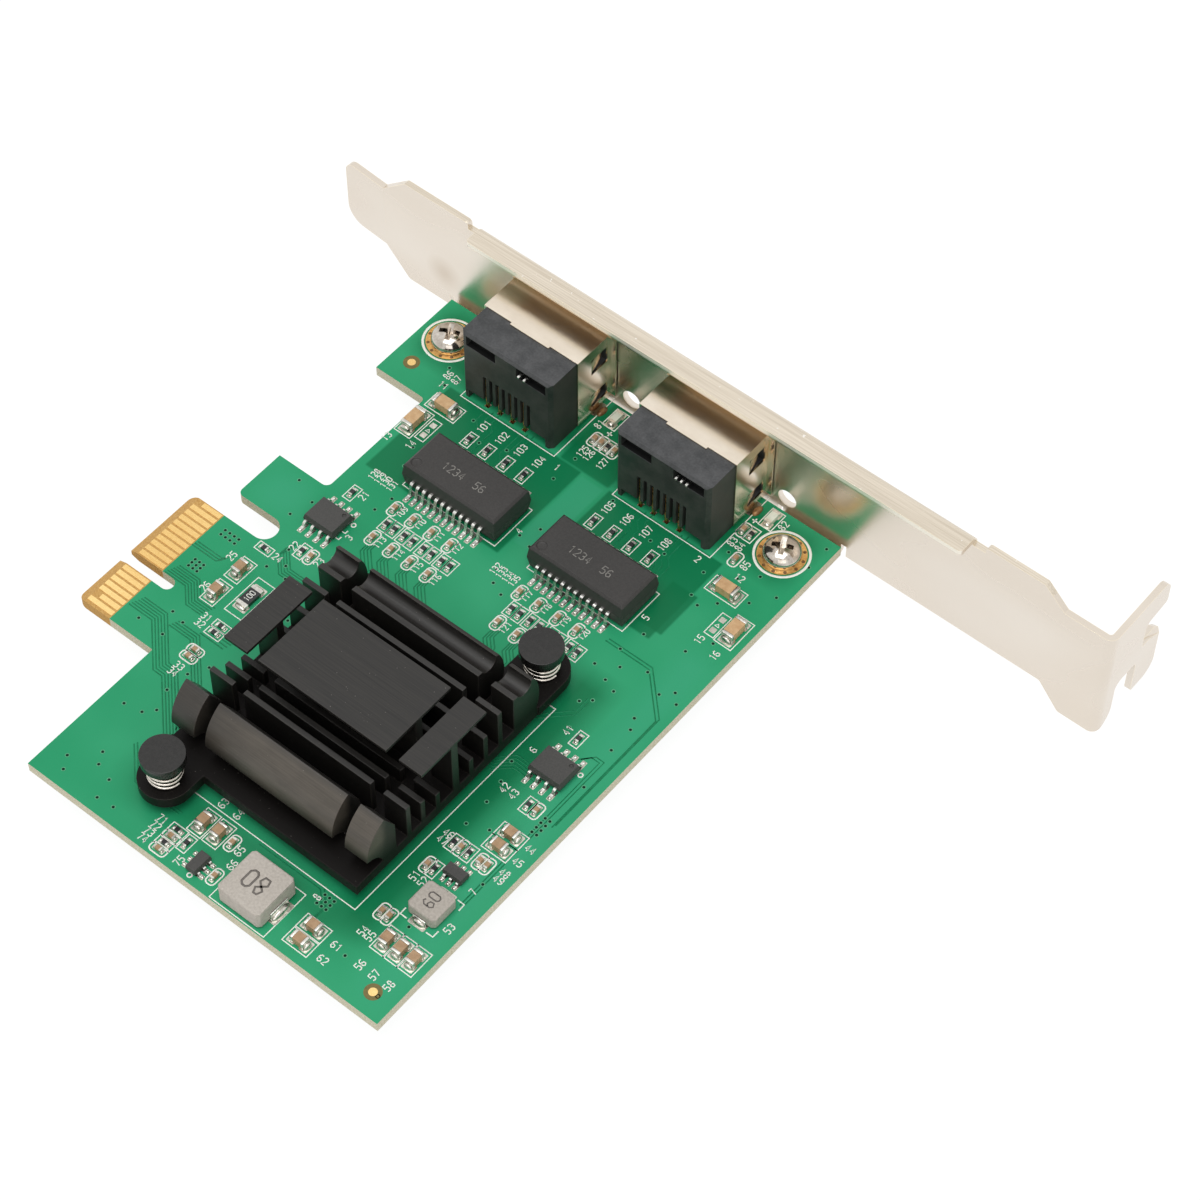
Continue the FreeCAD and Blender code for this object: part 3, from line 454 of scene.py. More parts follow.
# Painted shade: the dark inside of an open via hole
via_hole_shade = plain_finish("open_via", (8, 34, 24), (18, 52, 38), 0.6, 0, 3000, 0.05, specular=0.1)
flux_brown = plain_finish("browned_solder", (84, 58, 32), (150, 112, 70), 0.3, 0.4, 1200, 0.2)
bare_laminate = plain_finish("bare_laminate", (92, 84, 40), (124, 112, 60), 0.5, 0, 2000, 0.1)


# Making pieces

def finish_piece(made, slot_name, material=None, replaced=()):
    made.data.materials.clear()
    made.data.materials.append(material or finishes[slot_name])
    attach(made, "root")
    if replaced:
        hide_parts(*replaced)
    return made


def link_object(name, data):
    made = bpy.data.objects.new(name, data)
    bpy.context.scene.collection.objects.link(made)
    return made


def link_mesh(name, shape):
    mesh = bpy.data.meshes.new(name)
    shape.to_mesh(mesh)
    shape.free()
    return link_object(name, mesh)


def bake_modifiers(made):
    """Turns what the modifiers give into the piece's own plain mesh."""
    bpy.context.view_layer.update()
    evaluated = made.evaluated_get(bpy.context.evaluated_depsgraph_get())
    finished = bpy.data.meshes.new_from_object(evaluated)
    made.modifiers.clear()
    made.data = finished
    return made


def shade_round(made, angle):
    """Smooths the shading, with sharp edges past an angle in degrees."""
    made.data.shade_smooth()
    made.data.set_sharp_from_angle(angle=math.radians(angle))


def cut_away(made, cutter, **settings):
    cut = made.modifiers.new("cut", "BOOLEAN")
    cut.operation = "DIFFERENCE"
    cut.object = cutter
    for key, value in settings.items():
        setattr(cut, key, value)


# Corners closer than this many metres are one; faces that turn less than this many degrees are one flat face
weld_distance, flat_angle = 2e-6, 0.6


def node_shape(node):
    """A node's mesh with its loose triangles joined."""
    shape = bmesh.new()
    shape.from_mesh(card[node].data)
    bmesh.ops.remove_doubles(shape, verts=shape.verts, dist=weld_distance)
    return shape


def soften_edges(node, slot_name, width, segments=2, angle=32, cutters=()):
    """Piece with the node's shape and small rounded edges, which catch the light as real ones do."""
    shape = node_shape(node)
    flat = math.radians(flat_angle)
    bmesh.ops.dissolve_limit(shape, angle_limit=flat, verts=shape.verts, edges=shape.edges)
    made = link_mesh(node + "_finished", shape)
    for cutter in cutters:
        cut_away(made, cutter)
    rounding = made.modifiers.new("rounded_edges", "BEVEL")
    rounding.width = width * MM
    rounding.segments = segments
    rounding.limit_method = "ANGLE"
    rounding.angle_limit = math.radians(angle)
    bake_modifiers(made)
    for cutter in cutters:
        bpy.data.objects.remove(cutter)
    shade_round(made, angle)
    # Large flat faces keep their own normals beside the small rounded ones
    even = made.modifiers.new("even_normals", "WEIGHTED_NORMAL")
    even.keep_sharp = True
    bake_modifiers(made)
    return finish_piece(made, slot_name, replaced=[node])


def solid_boxes(node):
    """Lowest and highest corner of each separate solid of a node, in millimetres."""
    shape = node_shape(node)
    seen = set()
    boxes = []
    for first in shape.verts:
        if first in seen:
            continue
        seen.add(first)
        joined = [first]
        for vert in joined:
            for edge in vert.link_edges:
                other = edge.other_vert(vert)
                if other not in seen:
                    seen.add(other)
                    joined.append(other)
        low = Vector([min(v.co[axis] for v in joined) / MM for axis in range(3)])
        high = Vector([max(v.co[axis] for v in joined) / MM for axis in range(3)])
        boxes.append((low, high))
    shape.free()
    return boxes


# Geometry node trees

def geometry_tree(name, inputs):
    """Tree with named inputs, each a number or, without a default, an object; the last is the material."""
    tree = bpy.data.node_groups.new(name, "GeometryNodeTree")
    tree.interface.new_socket(name="Geometry", in_out="INPUT", socket_type="NodeSocketGeometry")
    for label, default in inputs:
        if default is None:
            tree.interface.new_socket(name=label, in_out="INPUT", socket_type="NodeSocketObject")
        else:
            socket = tree.interface.new_socket(name=label, in_out="INPUT", socket_type="NodeSocketFloat")
            socket.default_value = default
    tree.interface.new_socket(name="Material", in_out="INPUT", socket_type="NodeSocketMaterial")
    tree.interface.new_socket(name="Geometry", in_out="OUTPUT", socket_type="NodeSocketGeometry")
    return tree, tree.nodes.new("NodeGroupInput").outputs, tree.nodes.new("NodeGroupOutput").inputs


def end_tree(tree, given, result, geometry, smooth=False):
    realised = add_node(tree, "GeometryNodeRealizeInstances", {"Geometry": geometry}).outputs[0]
    if smooth:
        realised = add_node(tree, "GeometryNodeSetShadeSmooth", {"Geometry": realised}).outputs[0]
    coloured = {"Geometry": realised, "Material": given["Material"]}
    tree.links.new(add_node(tree, "GeometryNodeSetMaterial", coloured).outputs[0], result["Geometry"])
    return tree


def sweep(tree, curve, section):
    return add_node(tree, "GeometryNodeCurveToMesh",
                    {"Curve": curve, "Profile Curve": section, "Fill Caps": True}).outputs[0]


def build_line_tree():
    """Flat line of even width swept along the edges of a mesh, as ink or copper lies on a board."""
    tree, given, result = geometry_tree("flat_line", [("Width", 0.00015), ("Thickness", 0.00002)])
    curve = add_node(tree, "GeometryNodeMeshToCurve", {"Mesh": given["Geometry"]}).outputs[0]
    level = add_node(tree, "GeometryNodeSetCurveNormal", {"Curve": curve}, mode="Z_UP").outputs[0]
    section = add_node(tree, "GeometryNodeCurvePrimitiveQuadrilateral",
                       {"Width": given["Width"], "Height": given["Thickness"]}).outputs[0]
    return end_tree(tree, given, result, sweep(tree, level, section))


def build_setting_tree():
    """One form set at every point, with the point's own size and turn."""
    tree, given, result = geometry_tree("set_forms", [("Form", None)])
    form = add_node(tree, "GeometryNodeObjectInfo", {"Object": given["Form"]}).outputs["Geometry"]
    size, turn = (add_node(tree, "GeometryNodeInputNamedAttribute", {"Name": name},
                           data_type="FLOAT_VECTOR").outputs[0] for name in ("size", "turn"))
    turned = add_node(tree, "FunctionNodeEulerToRotation", {0: turn}).outputs[0]
    placed = add_node(tree, "GeometryNodeInstanceOnPoints",
                      {"Points": given["Geometry"], "Instance": form, "Rotation": turned, "Scale": size})
    return end_tree(tree, given, result, placed.outputs[0])


def build_coil_tree():
    """Coil of round wire standing at every point."""
    tree, given, result = geometry_tree(
        "wire_coil", [("Coil radius", 0.0021), ("Wire radius", 0.00025), ("Height", 0.003), ("Turns", 4.0)])
    spiral = add_node(tree, "GeometryNodeCurveSpiral",
                      {"Resolution": 28, "Rotations": given["Turns"], "Start Radius": given["Coil radius"],
                       "End Radius": given["Coil radius"], "Height": given["Height"]}).outputs[0]
    section = add_node(tree, "GeometryNodeCurvePrimitiveCircle",
                       {"Resolution": 10, "Radius": given["Wire radius"]}).outputs[0]
    placed = add_node(tree, "GeometryNodeInstanceOnPoints",
                      {"Points": given["Geometry"], "Instance": sweep(tree, spiral, section)})
    return end_tree(tree, given, result, placed.outputs[0], smooth=True)


line_tree = build_line_tree()
setting_tree = build_setting_tree()
coil_tree = build_coil_tree()


def run_tree(made, tree, **values):
    """Runs a tree on an object with the given inputs and keeps the result as its plain mesh."""
    modifier = made.modifiers.new(tree.name, "NODES")
    modifier.node_group = tree
    for item in tree.interface.items_tree:
        key = item.name.replace(" ", "_")
        if item.in_out == "INPUT" and key in values:
            modifier[item.identifier] = values[key]
    return bake_modifiers(made)


def new_points(name, points, edges=()):
    mesh = bpy.data.meshes.new(name)
    mesh.from_pydata([Vector(p) * MM for p in points], edges, [])
    return link_object(name, mesh)


def draw_lines(name, lines, level, width, slot_name, material, thickness=0.02):
    """Draws (points, closed) lines at a height above the board, all in millimetres."""
    points = []
    edges = []
    for line, closed in lines:
        first = len(points)
        points += [(x, y, level) for x, y in line]
        edges += [(i, i + 1) for i in range(first, len(points) - 1)]
        if closed:
            edges.append((len(points) - 1, first))
    made = new_points(name, points, edges)
    run_tree(made, line_tree, Width=width * MM, Thickness=thickness * MM, Material=material)
    return finish_piece(made, slot_name, material)


# Edges of a set form stay sharp past this angle in degrees
form_angle = 35


def set_forms(name, form, places, slot_name, material=None, replaced=()):
    """Sets a form at every (centre, size, turn) in millimetres and degrees about Z, or (x, y, z) turns."""
    made = new_points(name, [centre for centre, size, turn in places])
    sizes = made.data.attributes.new("size", "FLOAT_VECTOR", "POINT")
    turns = made.data.attributes.new("turn", "FLOAT_VECTOR", "POINT")
    for i, (centre, size, turn) in enumerate(places):
        sizes.data[i].vector = Vector(size) * MM
        turn = turn if isinstance(turn, tuple) else (0, 0, turn)
        turns.data[i].vector = [math.radians(a) for a in turn]
    run_tree(made, setting_tree, Form=form, Material=material or finishes[slot_name])
    shade_round(made, form_angle)
    return finish_piece(made, slot_name, material, replaced)


def alike(points, size, level=0.0, turn=0):
    """Places of one size and turn at every (x, y) point."""
    return [((x, y, level), size, turn) for x, y in points]


# Every carried-over node first gets its finish from its slot in the record
for entry in frame["record"]["subparts"]:
    own = card[entry["node"]].data
    own.materials.clear()
    own.materials.append(finishes[entry["material_slot"]])


# Camera, light and floor: the camera's angles in degrees, and its target, distance and lens in millimetres
camera_azimuth, camera_elevation, camera_roll = 39.0442, 54.0919, 0.36457
camera_target = (49.283, 31.519, 0.0)
camera_distance = 419.54
camera_lens = 103.764


def place_camera():
    azimuth, elevation, roll = (math.radians(a) for a in (camera_azimuth, camera_elevation, camera_roll))
    away = Vector((math.cos(elevation) * math.sin(azimuth), -math.cos(elevation) * math.cos(azimuth),
                   math.sin(elevation)))
    right = (-away).cross(Vector((0, 0, 1))).normalized()
    up = right.cross(-away)
    tilted_right = right * math.cos(roll) + up * math.sin(roll)
    tilted_up = up * math.cos(roll) - right * math.sin(roll)
    data = bpy.data.cameras.new("photograph_view")
    data.sensor_width = 36.0
    data.lens = camera_lens
    data.clip_start = 0.01
    data.clip_end = 20.0
    camera = link_object("photograph_view", data)
    turn = Matrix((tilted_right, tilted_up, away)).transposed().to_4x4()
    camera.matrix_world = Matrix.Translation((Vector(camera_target) + away * camera_distance) * MM) @ turn
    bpy.context.scene.camera = camera


# Soft lamps, in metres: name, place, width, depth, power and colour; both point at the middle of the card
soft_lamps = (("wide_key", (0.1, -0.2, 1.1), 0.8, 0.8, 6.4, (1, 1, 1)),
              ("front_fill", (0.65, -0.7, 0.55), 0.8, 0.6, 1.4, (1.0, 0.98, 0.95)))
lamp_aim = (0.04, 0.02, 0)


def place_lamps():
    for name, place, width, depth, power, colour in soft_lamps:
        data = bpy.data.lights.new(name, "AREA")
        data.shape = "RECTANGLE"
        data.size = width
        data.size_y = depth
        data.energy = power
        data.color = colour
        lamp = link_object(name, data)
        lamp.location = place
        lamp.rotation_euler = (Vector(lamp_aim) - Vector(place)).to_track_quat("-Z", "Y").to_euler()


def background_rays(tree):
    """1 for the rays that see the background: the camera's own, and those from metal and clear parts."""
    seen = add_node(tree, "ShaderNodeLightPath").outputs
    mirrored = maths(tree, "MAXIMUM", seen["Is Camera Ray"], seen["Is Glossy Ray"])
    return maths(tree, "MAXIMUM", mirrored, seen["Is Transmission Ray"])


# The sky's strength for the light it gives, and the floor's own glow and its share where it is seen
sky_light, floor_glow, glow_share = 0.5, 1.12, 0.83
# Half the floor's width and its gap under the card, in metres
floor_reach, floor_gap = 2.5, 0.0002


def build_studio():
    world = bpy.data.worlds.new("pale_studio")
    bpy.context.scene.world = world
    world.use_nodes = True
    sky = world.node_tree
    base = sky.nodes["Background"]
    base.inputs["Color"].default_value = (1.0, 0.99, 0.975, 1.0)
    sky.links.new(ramp(sky, background_rays(sky), 0.0, 1.0, sky_light, 1.0), base.inputs["Strength"])

    shape = bmesh.new()
    bmesh.ops.create_grid(shape, x_segments=1, y_segments=1, size=floor_reach)
    floor = link_mesh("studio_floor", shape)
    floor.data.transform(Matrix.Translation((0.05, 0.02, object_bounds()[0].z - floor_gap)))
    white = bpy.data.materials.new("pale_floor")
    white.use_nodes = True
    tree = white.node_tree
    tree.nodes.clear()
    cloth = add_node(tree, "ShaderNodeBsdfDiffuse", {"Color": (0.8, 0.79, 0.78, 1.0)})
    glow = add_node(tree, "ShaderNodeEmission", {"Color": (1, 1, 1, 1), "Strength": floor_glow})
    share = product(tree, background_rays(tree), glow_share)
    both = add_node(tree, "ShaderNodeMixShader", {0: share, 1: cloth.outputs[0], 2: glow.outputs[0]})
    add_node(tree, "ShaderNodeOutputMaterial", {"Surface": both.outputs[0]})
    floor.data.materials.append(white)
    place_lamps()
    bpy.context.scene.view_settings.view_transform = "Standard"


place_camera()
build_studio()


# Forms that are set many times, in millimetres

def block_form():
    """Unit block with small chamfers, for pads and end caps."""
    shape = bmesh.new()
    bmesh.ops.create_cube(shape, size=1.0)
    bmesh.ops.bevel(shape, geom=shape.edges[:], offset=0.07, segments=1, affect="EDGES")
    return link_mesh("block_form", shape)


def dome_form():
    """Unit dome that stands on z = 0, for solder that has flowed and set."""
    shape = bmesh.new()
    bmesh.ops.create_uvsphere(shape, u_segments=12, v_segments=8, radius=0.5)
    for vert in shape.verts:
        vert.co.z = max(vert.co.z * 2.0, -0.05)
    bmesh.ops.remove_doubles(shape, verts=shape.verts, dist=1e-4)
    return link_mesh("dome_form", shape)


def turned_form(name, profile, sides, closed=False):
    """Solid turned about Z from a profile of (radius, z), or a ring from a closed profile."""
    shape = bmesh.new()
    rings = []
    for radius, level in profile:
        if radius == 0:
            rings.append([shape.verts.new((0, 0, level))] * sides)
        else:
            rings.append([shape.verts.new((radius * math.cos(a), radius * math.sin(a), level))
                          for a in (math.tau * i / sides for i in range(sides))])
    for low, high in zip(rings, rings[1:] + rings[:1] if closed else rings[1:]):
        for i in range(sides):
            corners = [low[i], low[(i + 1) % sides], high[(i + 1) % sides], high[i]]
            corners = [c for k, c in enumerate(corners) if c not in corners[:k]]
            if len(corners) > 2:
                shape.faces.new(corners)
    bmesh.ops.recalc_face_normals(shape, faces=shape.faces)
    return link_mesh(name, shape)


def disc_form(inner, outer, height, sides):
    """Flat ring, or with no inner radius a flat disc, whose rim goes down into the board."""
    profile = [(inner, 0.0), (inner, height), (outer, height), (outer, 0.0)]
    return turned_form("disc_form", profile, sides, closed=True)


block = block_form()
dome = dome_form()


# Places read from the solids

def middle(box):
    return (box[0] + box[1]) / 2


def extent(box):
    return box[1] - box[0]


def flat_middle(box):
    """Middle of a box as seen from above, as (x, y)."""
    return tuple(middle(box).xy)


def nearest(box, others):
    return min(others, key=lambda other: (middle(other) - middle(box)).length)


def across(along_y, length, width):
    """Puts a length and a width in x and y order for a part that lies along Y or X."""
    return (width, length) if along_y else (length, width)


def ends(boxes, homes, by_shape=False):
    """How each lead or cap lies: its middle, size, whether along Y, side of its body, length and width."""
    for box in boxes:
        centre, size = middle(box), extent(box)
        away = centre - middle(nearest(box, homes))
        along_y = size.y > size.x if by_shape else abs(away.y) > abs(away.x)
        side = 1 if (away.y if along_y else away.x) > 0 else -1
        yield centre, size, along_y, side, *across(along_y, size.x, size.y)


def add_place(places, centre, along_y, shift, length, width, height, level):
    """Adds a place that is shifted along its part from the part's middle."""
    dx, dy = across(along_y, shift, 0)
    places.append(((centre.x + dx, centre.y + dy, level), (*across(along_y, length, width), height), 0))


chips = {name: solid_boxes(name) for name in ("small_resistors", "small_capacitors")}
capped = ("filter_capacitors", "power_capacitors", "link_resistor", "status_lamps")
bodies = {name: solid_boxes(name + "_bodies") for name in capped}
chip_caps = {name: solid_boxes(name + "_end_caps") for name in capped}
jacks = ("jack_one", "jack_two")
jack_centres = [middle(solid_boxes(name + "_housing")[0]).x for name in jacks]
transformers = ("transformer_one", "transformer_two")
memories = ("boot_memory", "settings_memory")
inductors = ("large_inductor", "small_inductor")
screw_places = [flat_middle(box) for box in solid_boxes("bracket_screws")]
board_back = solid_boxes("board")[0][0].z

# Small chips: tinned ends, larger than the chip by a cover, then pads centred on their level and solder
# domes that stand on theirs
small_caps = []
pads = []
solder = []
cap_length, cap_cover = 0.24, 0.03
pad_height, pad_level, dome_level = 0.03, 0.01, 0.02
for name, boxes in chips.items():
    for box in boxes:
        centre, size = middle(box), extent(box)
        along_y = size.y > size.x
        length, width = across(along_y, size.x, size.y)
        for side in (-1, 1):
            add_place(small_caps, centre, along_y, side * (length - cap_length) / 2, cap_length + cap_cover,
                      width + cap_cover, size.z + cap_cover, centre.z + 0.005)
            add_place(pads, centre, along_y, side * (length / 2 + 0.04), 0.5, 0.64, pad_height, pad_level)
            add_place(solder, centre, along_y, side * (length / 2 + 0.02), 0.32, width * 0.95, size.z * 0.5,
                      dome_level)
# Larger chips: pads and solder at each cap
for name, boxes in chip_caps.items():
    for centre, size, along_y, side, length, width in ends(boxes, bodies[name]):
        reach = side * (length / 2 + 0.12)
        add_place(pads, centre, along_y, reach / 2, length + 0.75, width + 0.32, pad_height, pad_level)
        add_place(solder, centre, along_y, reach, 0.62, width * 1.02, size.z * 0.62, dome_level)
# Leads: the node of the body, the width and length of a pad under each foot and the gauge of the lead
leaded = {"transformer_one": ("transformer_one_body", 0.66, 1.9, 0.2),
          "transformer_two": ("transformer_two_body", 0.66, 1.9, 0.2),
          "boot_memory": ("boot_memory_body", 0.66, 1.6, 0.2),
          "settings_memory": ("settings_memory_body", 0.66, 1.6, 0.2),
          "regulator": ("regulator_bodies", 0.6, 1.0, 0.15)}
for name, (body, pad_width, pad_length, gauge) in leaded.items():
    leads = ends(solid_boxes(name + "_leads"), solid_boxes(body), True)
    for centre, size, along_y, side, reach, width in leads:
        inward = pad_length * 0.28
        add_place(pads, centre, along_y, side * (reach / 2 - inward), pad_length, pad_width, 0.025, 0.005)
        add_place(solder, centre, along_y, side * (reach / 2 + 0.02), 0.55, pad_width * 0.8, 0.24, 0.01)
# Inductors: a pad and solder under each terminal
for name in inductors:
    terminals = ends(solid_boxes(name + "_terminals"), solid_boxes(name + "_body"))
    for centre, size, along_y, side, length, width in terminals:
        reach = side * (length / 2 + 0.1)
        add_place(pads, centre, along_y, reach, 1.2, width + 0.5, pad_height, pad_level)
        add_place(solder, centre, along_y, reach, 0.8, width * 1.05, 0.7, dome_level)
# Two empty footprints beside the filter capacitors
empty_footprints = ((15.95, 38.15), (62.65, 37.65))
for x, y in empty_footprints:
    pads += alike([(x, y - 0.95), (x, y + 0.95)], (0.8, 0.8, pad_height), pad_level)

set_forms("small_chip_end_caps", block, small_caps, "tin_ends")
set_forms("solder_pads", block, pads, "tin_ends", pad_metal)
set_forms("solder_joints", dome, solder, "tin_ends", bright_solder)

# Solder on the underside, and browned solder at the shield legs; a half turn about X hangs a form from the
# board, and the tails and legs of the jacks stand in rows along X
upside_down = (180, 0, 0)
tail_pitch, tail_rows, leg_row = 1.02, (46.0, 47.0), 54.4
tail_points = [(x + (i - 3.5) * tail_pitch, tail_rows[i % 2]) for x in jack_centres for i in range(8)]
leg_points = []
for name in jacks:
    low, high = solid_boxes(name + "_shield")[0]
    leg_points += [(low.x + 0.15, leg_row), (high.x - 0.15, leg_row)]
under_joints = alike(tail_points, (1.1, 1.1, 0.75), board_back + dome_level, upside_down)
under_joints += alike(leg_points, (1.5, 2.7, 0.8), board_back + dome_level, upside_down)
set_forms("underside_solder", dome, under_joints, "tin_ends", bright_solder)
set_forms("shield_leg_solder", dome, alike(leg_points, (1.0, 1.9, 0.4)), "tin_ends", flux_brown)


# Ink on the board; each line is its points and whether it closes

def outline(x, y, width, height):
    a, b = width / 2, height / 2
    return ([(x - a, y - b), (x + a, y - b), (x + a, y + b), (x - a, y + b)], True)


def capsule(x, y, width, height):
    """Outline whose corners are cut off in arcs."""
    a, b = width / 2, height / 2
    round_off = min(a, b) * 0.75
    points = []
    for sx, sy, start in ((1, 1, 0), (-1, 1, 90), (-1, -1, 180), (1, -1, 270)):
        for step in (0, 30, 60, 90):
            angle = math.radians(start + step)
            points.append((x + sx * (a - round_off) + round_off * math.cos(angle),
                           y + sy * (b - round_off) + round_off * math.sin(angle)))
    return (points, True)


def circle(x, y, radius, sides, start=0.0):
    turns = [math.tau * (i + start) / sides for i in range(sides)]
    return ([(x + radius * math.cos(a), y + radius * math.sin(a)) for a in turns], True)


# Strokes of each digit on a grid one wide and two high
digit_strokes = {
    "0": [[(0, 0.3), (0.3, 0), (0.7, 0), (1, 0.3), (1, 1.7), (0.7, 2), (0.3, 2), (0, 1.7), (0, 0.3)]],
    "1": [[(0.2, 1.6), (0.6, 2), (0.6, 0)]],
    "2": [[(0, 1.7), (0.3, 2), (0.7, 2), (1, 1.7), (1, 1.3), (0, 0), (1, 0)]],
    "3": [[(0, 1.8), (0.4, 2), (1, 1.7), (0.9, 1.1), (0.4, 1)], [(0.9, 1.0), (1, 0.4), (0.6, 0), (0, 0.2)]],
    "4": [[(0.75, 0), (0.75, 2), (0, 0.6), (1, 0.6)]],
    "5": [[(1, 2), (0.1, 2), (0, 1.1), (0.7, 1.2), (1, 0.8), (0.9, 0.2), (0.5, 0), (0, 0.2)]],
    "6": [[(0.9, 1.8), (0.5, 2), (0, 1.5), (0, 0.4), (0.4, 0), (1, 0.3), (0.9, 0.9), (0.4, 1.1), (0, 0.8)]],
    "7": [[(0, 2), (1, 2), (0.4, 0)]],
    "8": [[(0.5, 1.05), (0.05, 1.4), (0.3, 2), (0.7, 2), (0.95, 1.4), (0.5, 1.05), (0, 0.6), (0.2, 0),
           (0.8, 0), (1, 0.6), (0.5, 1.05)]],
    "9": [[(0.1, 0.2), (0.5, 0), (1, 0.5), (1, 1.6), (0.6, 2), (0, 1.7), (0.1, 1.1), (0.6, 0.9), (1, 1.2)]],
}


def number(text, x, y, turn=0, height=0.95):
    """Strokes of a plain number, centred on a point."""
    unit = height / 2
    step = unit * 1.5
    start = -(step * (len(text) - 1) + unit) / 2
    cos, sin = math.cos(math.radians(turn)), math.sin(math.radians(turn))
    lines = []
    for place, digit in enumerate(text):
        for stroke in digit_strokes[digit]:
            line = []
            for u, v in stroke:
                px = start + place * step + u * unit
                py = (v - 1) * unit
                line.append((x + px * cos - py * sin, y + px * sin + py * cos))
            lines.append((line, False))
    return lines


# Outlines round the parts: how far each reaches beyond its part and beside it
frame_lines = []
for name, boxes in chips.items():
    for box in boxes:
        size = extent(box)
        frame_size = across(size.y > size.x, max(size.x, size.y) + 1.25, min(size.x, size.y) + 0.72)
        shape = outline if name == "small_resistors" else capsule
        frame_lines.append(shape(*flat_middle(box), *frame_size))
frame_margins = {"filter_capacitors": (2.6, 0.95), "power_capacitors": (2.5, 0.9),
                 "link_resistor": (3.9, 1.15), "status_lamps": (1.8, 0.95)}
for name, boxes in bodies.items():
    beyond, beside = frame_margins[name]
    for box in boxes:
        size = extent(box)
        along_y = abs((middle(nearest(box, chip_caps[name])) - middle(box)).y) > 0.3
        length, width = across(along_y, size.x, size.y)
        frame_lines.append(outline(*flat_middle(box), *across(along_y, length + beyond, width + beside)))
for x, y in empty_footprints:
    frame_lines.append(outline(x, y, 1.4, 3.7))
    frame_lines.append(([(x - 0.3, y - 0.25), (x + 0.3, y - 0.25), (x, y + 0.2)], True))
# Frames round the transformers and the jacks: shift in x, middle in y, and size
for name in transformers:
    box = solid_boxes(name + "_body")[0]
    frame_lines.append(outline(middle(box).x + 0.1, 33.2, extent(box).x, 7.2))
frame_lines += [outline(x + 0.4, 51.0, 15.4, 12.0) for x in jack_centres]
# Frame round the cooler, frame and corners round the inductors
frame_lines.append(([(54.15, 15.8), (55.35, 15.8), (55.35, -19.9), (29.65, -19.9), (29.65, -18.7)], False))
frame_lines.append(outline(45.55, -25.6, 8.4, 7.2))
for sx, sy in ((-1, -1), (-1, 1), (1, -1), (1, 1)):
    x, y = 62.1 + sx * 2.45, -14.25 + sy * 2.75
    frame_lines.append(([(x - sx, y), (x, y), (x, y - sy)], False))
# Dots, angles and plus signs that show how parts lie
frame_lines += [circle(x, y, 0.3, 12) for x, y in ((18.65, 21.0), (63.55, 10.5), (37.65, -28.5))]
frame_lines += [([(18.2, y), (18.7, y), (18.7, y + 0.5)], False) for y in (19.4, 18.2)]
for x, y in ((33.9, 52.2), (56.4, 53.0)):
    frame_lines += [([(x - 0.4, y), (x + 0.4, y)], False), ([(x, y - 0.4), (x, y + 0.4)], False)]

# Plain numbers beside the parts: number, x, y and turn
numbers = [("11", 12.6, 44.9, 0), ("12", 60.3, 44.9, 0), ("13", 12.5, 34.1, 90), ("14", 15.7, 35.0, 90),
           ("15", 62.2, 34.6, 90), ("16", 65.1, 33.9, 90), ("4", 34.9, 33.3, 90), ("5", 55.2, 33.0, 90),
           ("1", 32.2, 43.9, 0), ("2", 54.6, 43.9, 0), ("21", 16.6, 25.2, 90), ("22", 15.2, 14.0, 90),
           ("23", 19.2, 14.0, 90), ("3", 19.5, 19.2, 90), ("24", 14.8, 11.35, 0), ("25", 10.3, 8.0, 90),
           ("26", 10.9, 2.6, 90), ("31", 14.2, -0.65, 0), ("32", 14.2, -1.85, 0), ("33", 16.6, -8.0, 0),
           ("34", 16.6, -9.1, 0), ("6", 57.0, 9.7, 90), ("41", 58.4, 14.4, 90), ("42", 57.8, 3.5, 90),
           ("43", 59.2, 3.5, 90), ("44", 65.6, -1.05, 0), ("45", 65.6, -3.3, 0), ("46", 56.9, -5.4, 0),
           ("47", 56.9, -6.5, 0), ("48", 65.4, -5.4, 0), ("49", 65.4, -6.5, 0), ("7", 64.2, -9.6, 90),
           ("51", 57.6, -12.2, 90), ("52", 58.9, -12.2, 90), ("53", 65.3, -15.0, 90),
           ("54", 57.9, -21.4, 90), ("55", 59.0, -21.4, 90), ("56", 60.6, -24.9, 90),
           ("57", 62.7, -24.9, 90), ("58", 64.9, -24.9, 90), ("8", 50.9, -21.4, 90), ("61", 56.9, -24.8, 0),
           ("62", 56.9, -27.1, 0), ("63", 34.0, -18.9, 90), ("64", 36.4, -18.9, 90), ("65", 39.9, -22.5, 90),
           ("66", 40.5, -24.4, 90), ("71", 30.0, -25.0, 0), ("72", 30.0, -26.1, 0), ("73", 30.0, -27.2, 0),
           ("74", 30.0, -28.25, 0), ("75", 35.4, -27.9, 90), ("81", 31.9, 52.6, 90), ("82", 59.6, 54.6, 90),
           ("83", 56.2, 48.7, 90), ("84", 57.4, 48.7, 90), ("85", 59.7, 46.8, 90), ("86", 12.0, 46.6, 90),
           ("87", 13.3, 46.6, 90)]
number_lines = []
for text, x, y, turn in numbers:
    number_lines += number(text, x, y, turn)
# Rows of small chips that take rising numbers: the row's y, the number's shift in x, its y and its height
numbered_rows = {
    "small_resistors": ((40.25, 0.05, 43.05, 0.95),),
    "small_capacitors": ((21.05, 1.15, 21.05, 0.85), (26.15, 1.0, 26.3, 0.8), (50.35, 0.0, 47.9, 0.85)),
}
rising = []
for name, rows in numbered_rows.items():
    for box in chips[name]:
        x, y = flat_middle(box)
        rising += [(x + shift, at, height) for row, shift, at, height in rows if abs(y - row) < 0.1]
for first_x, y in ((15.3, 28.6), (36.4, 27.1)):
    rising += [(first_x + i, y, 0.8) for i in range(4)]
for count, (x, y, height) in enumerate(rising, 101):
    number_lines += number(str(count), x, y, 90, height)

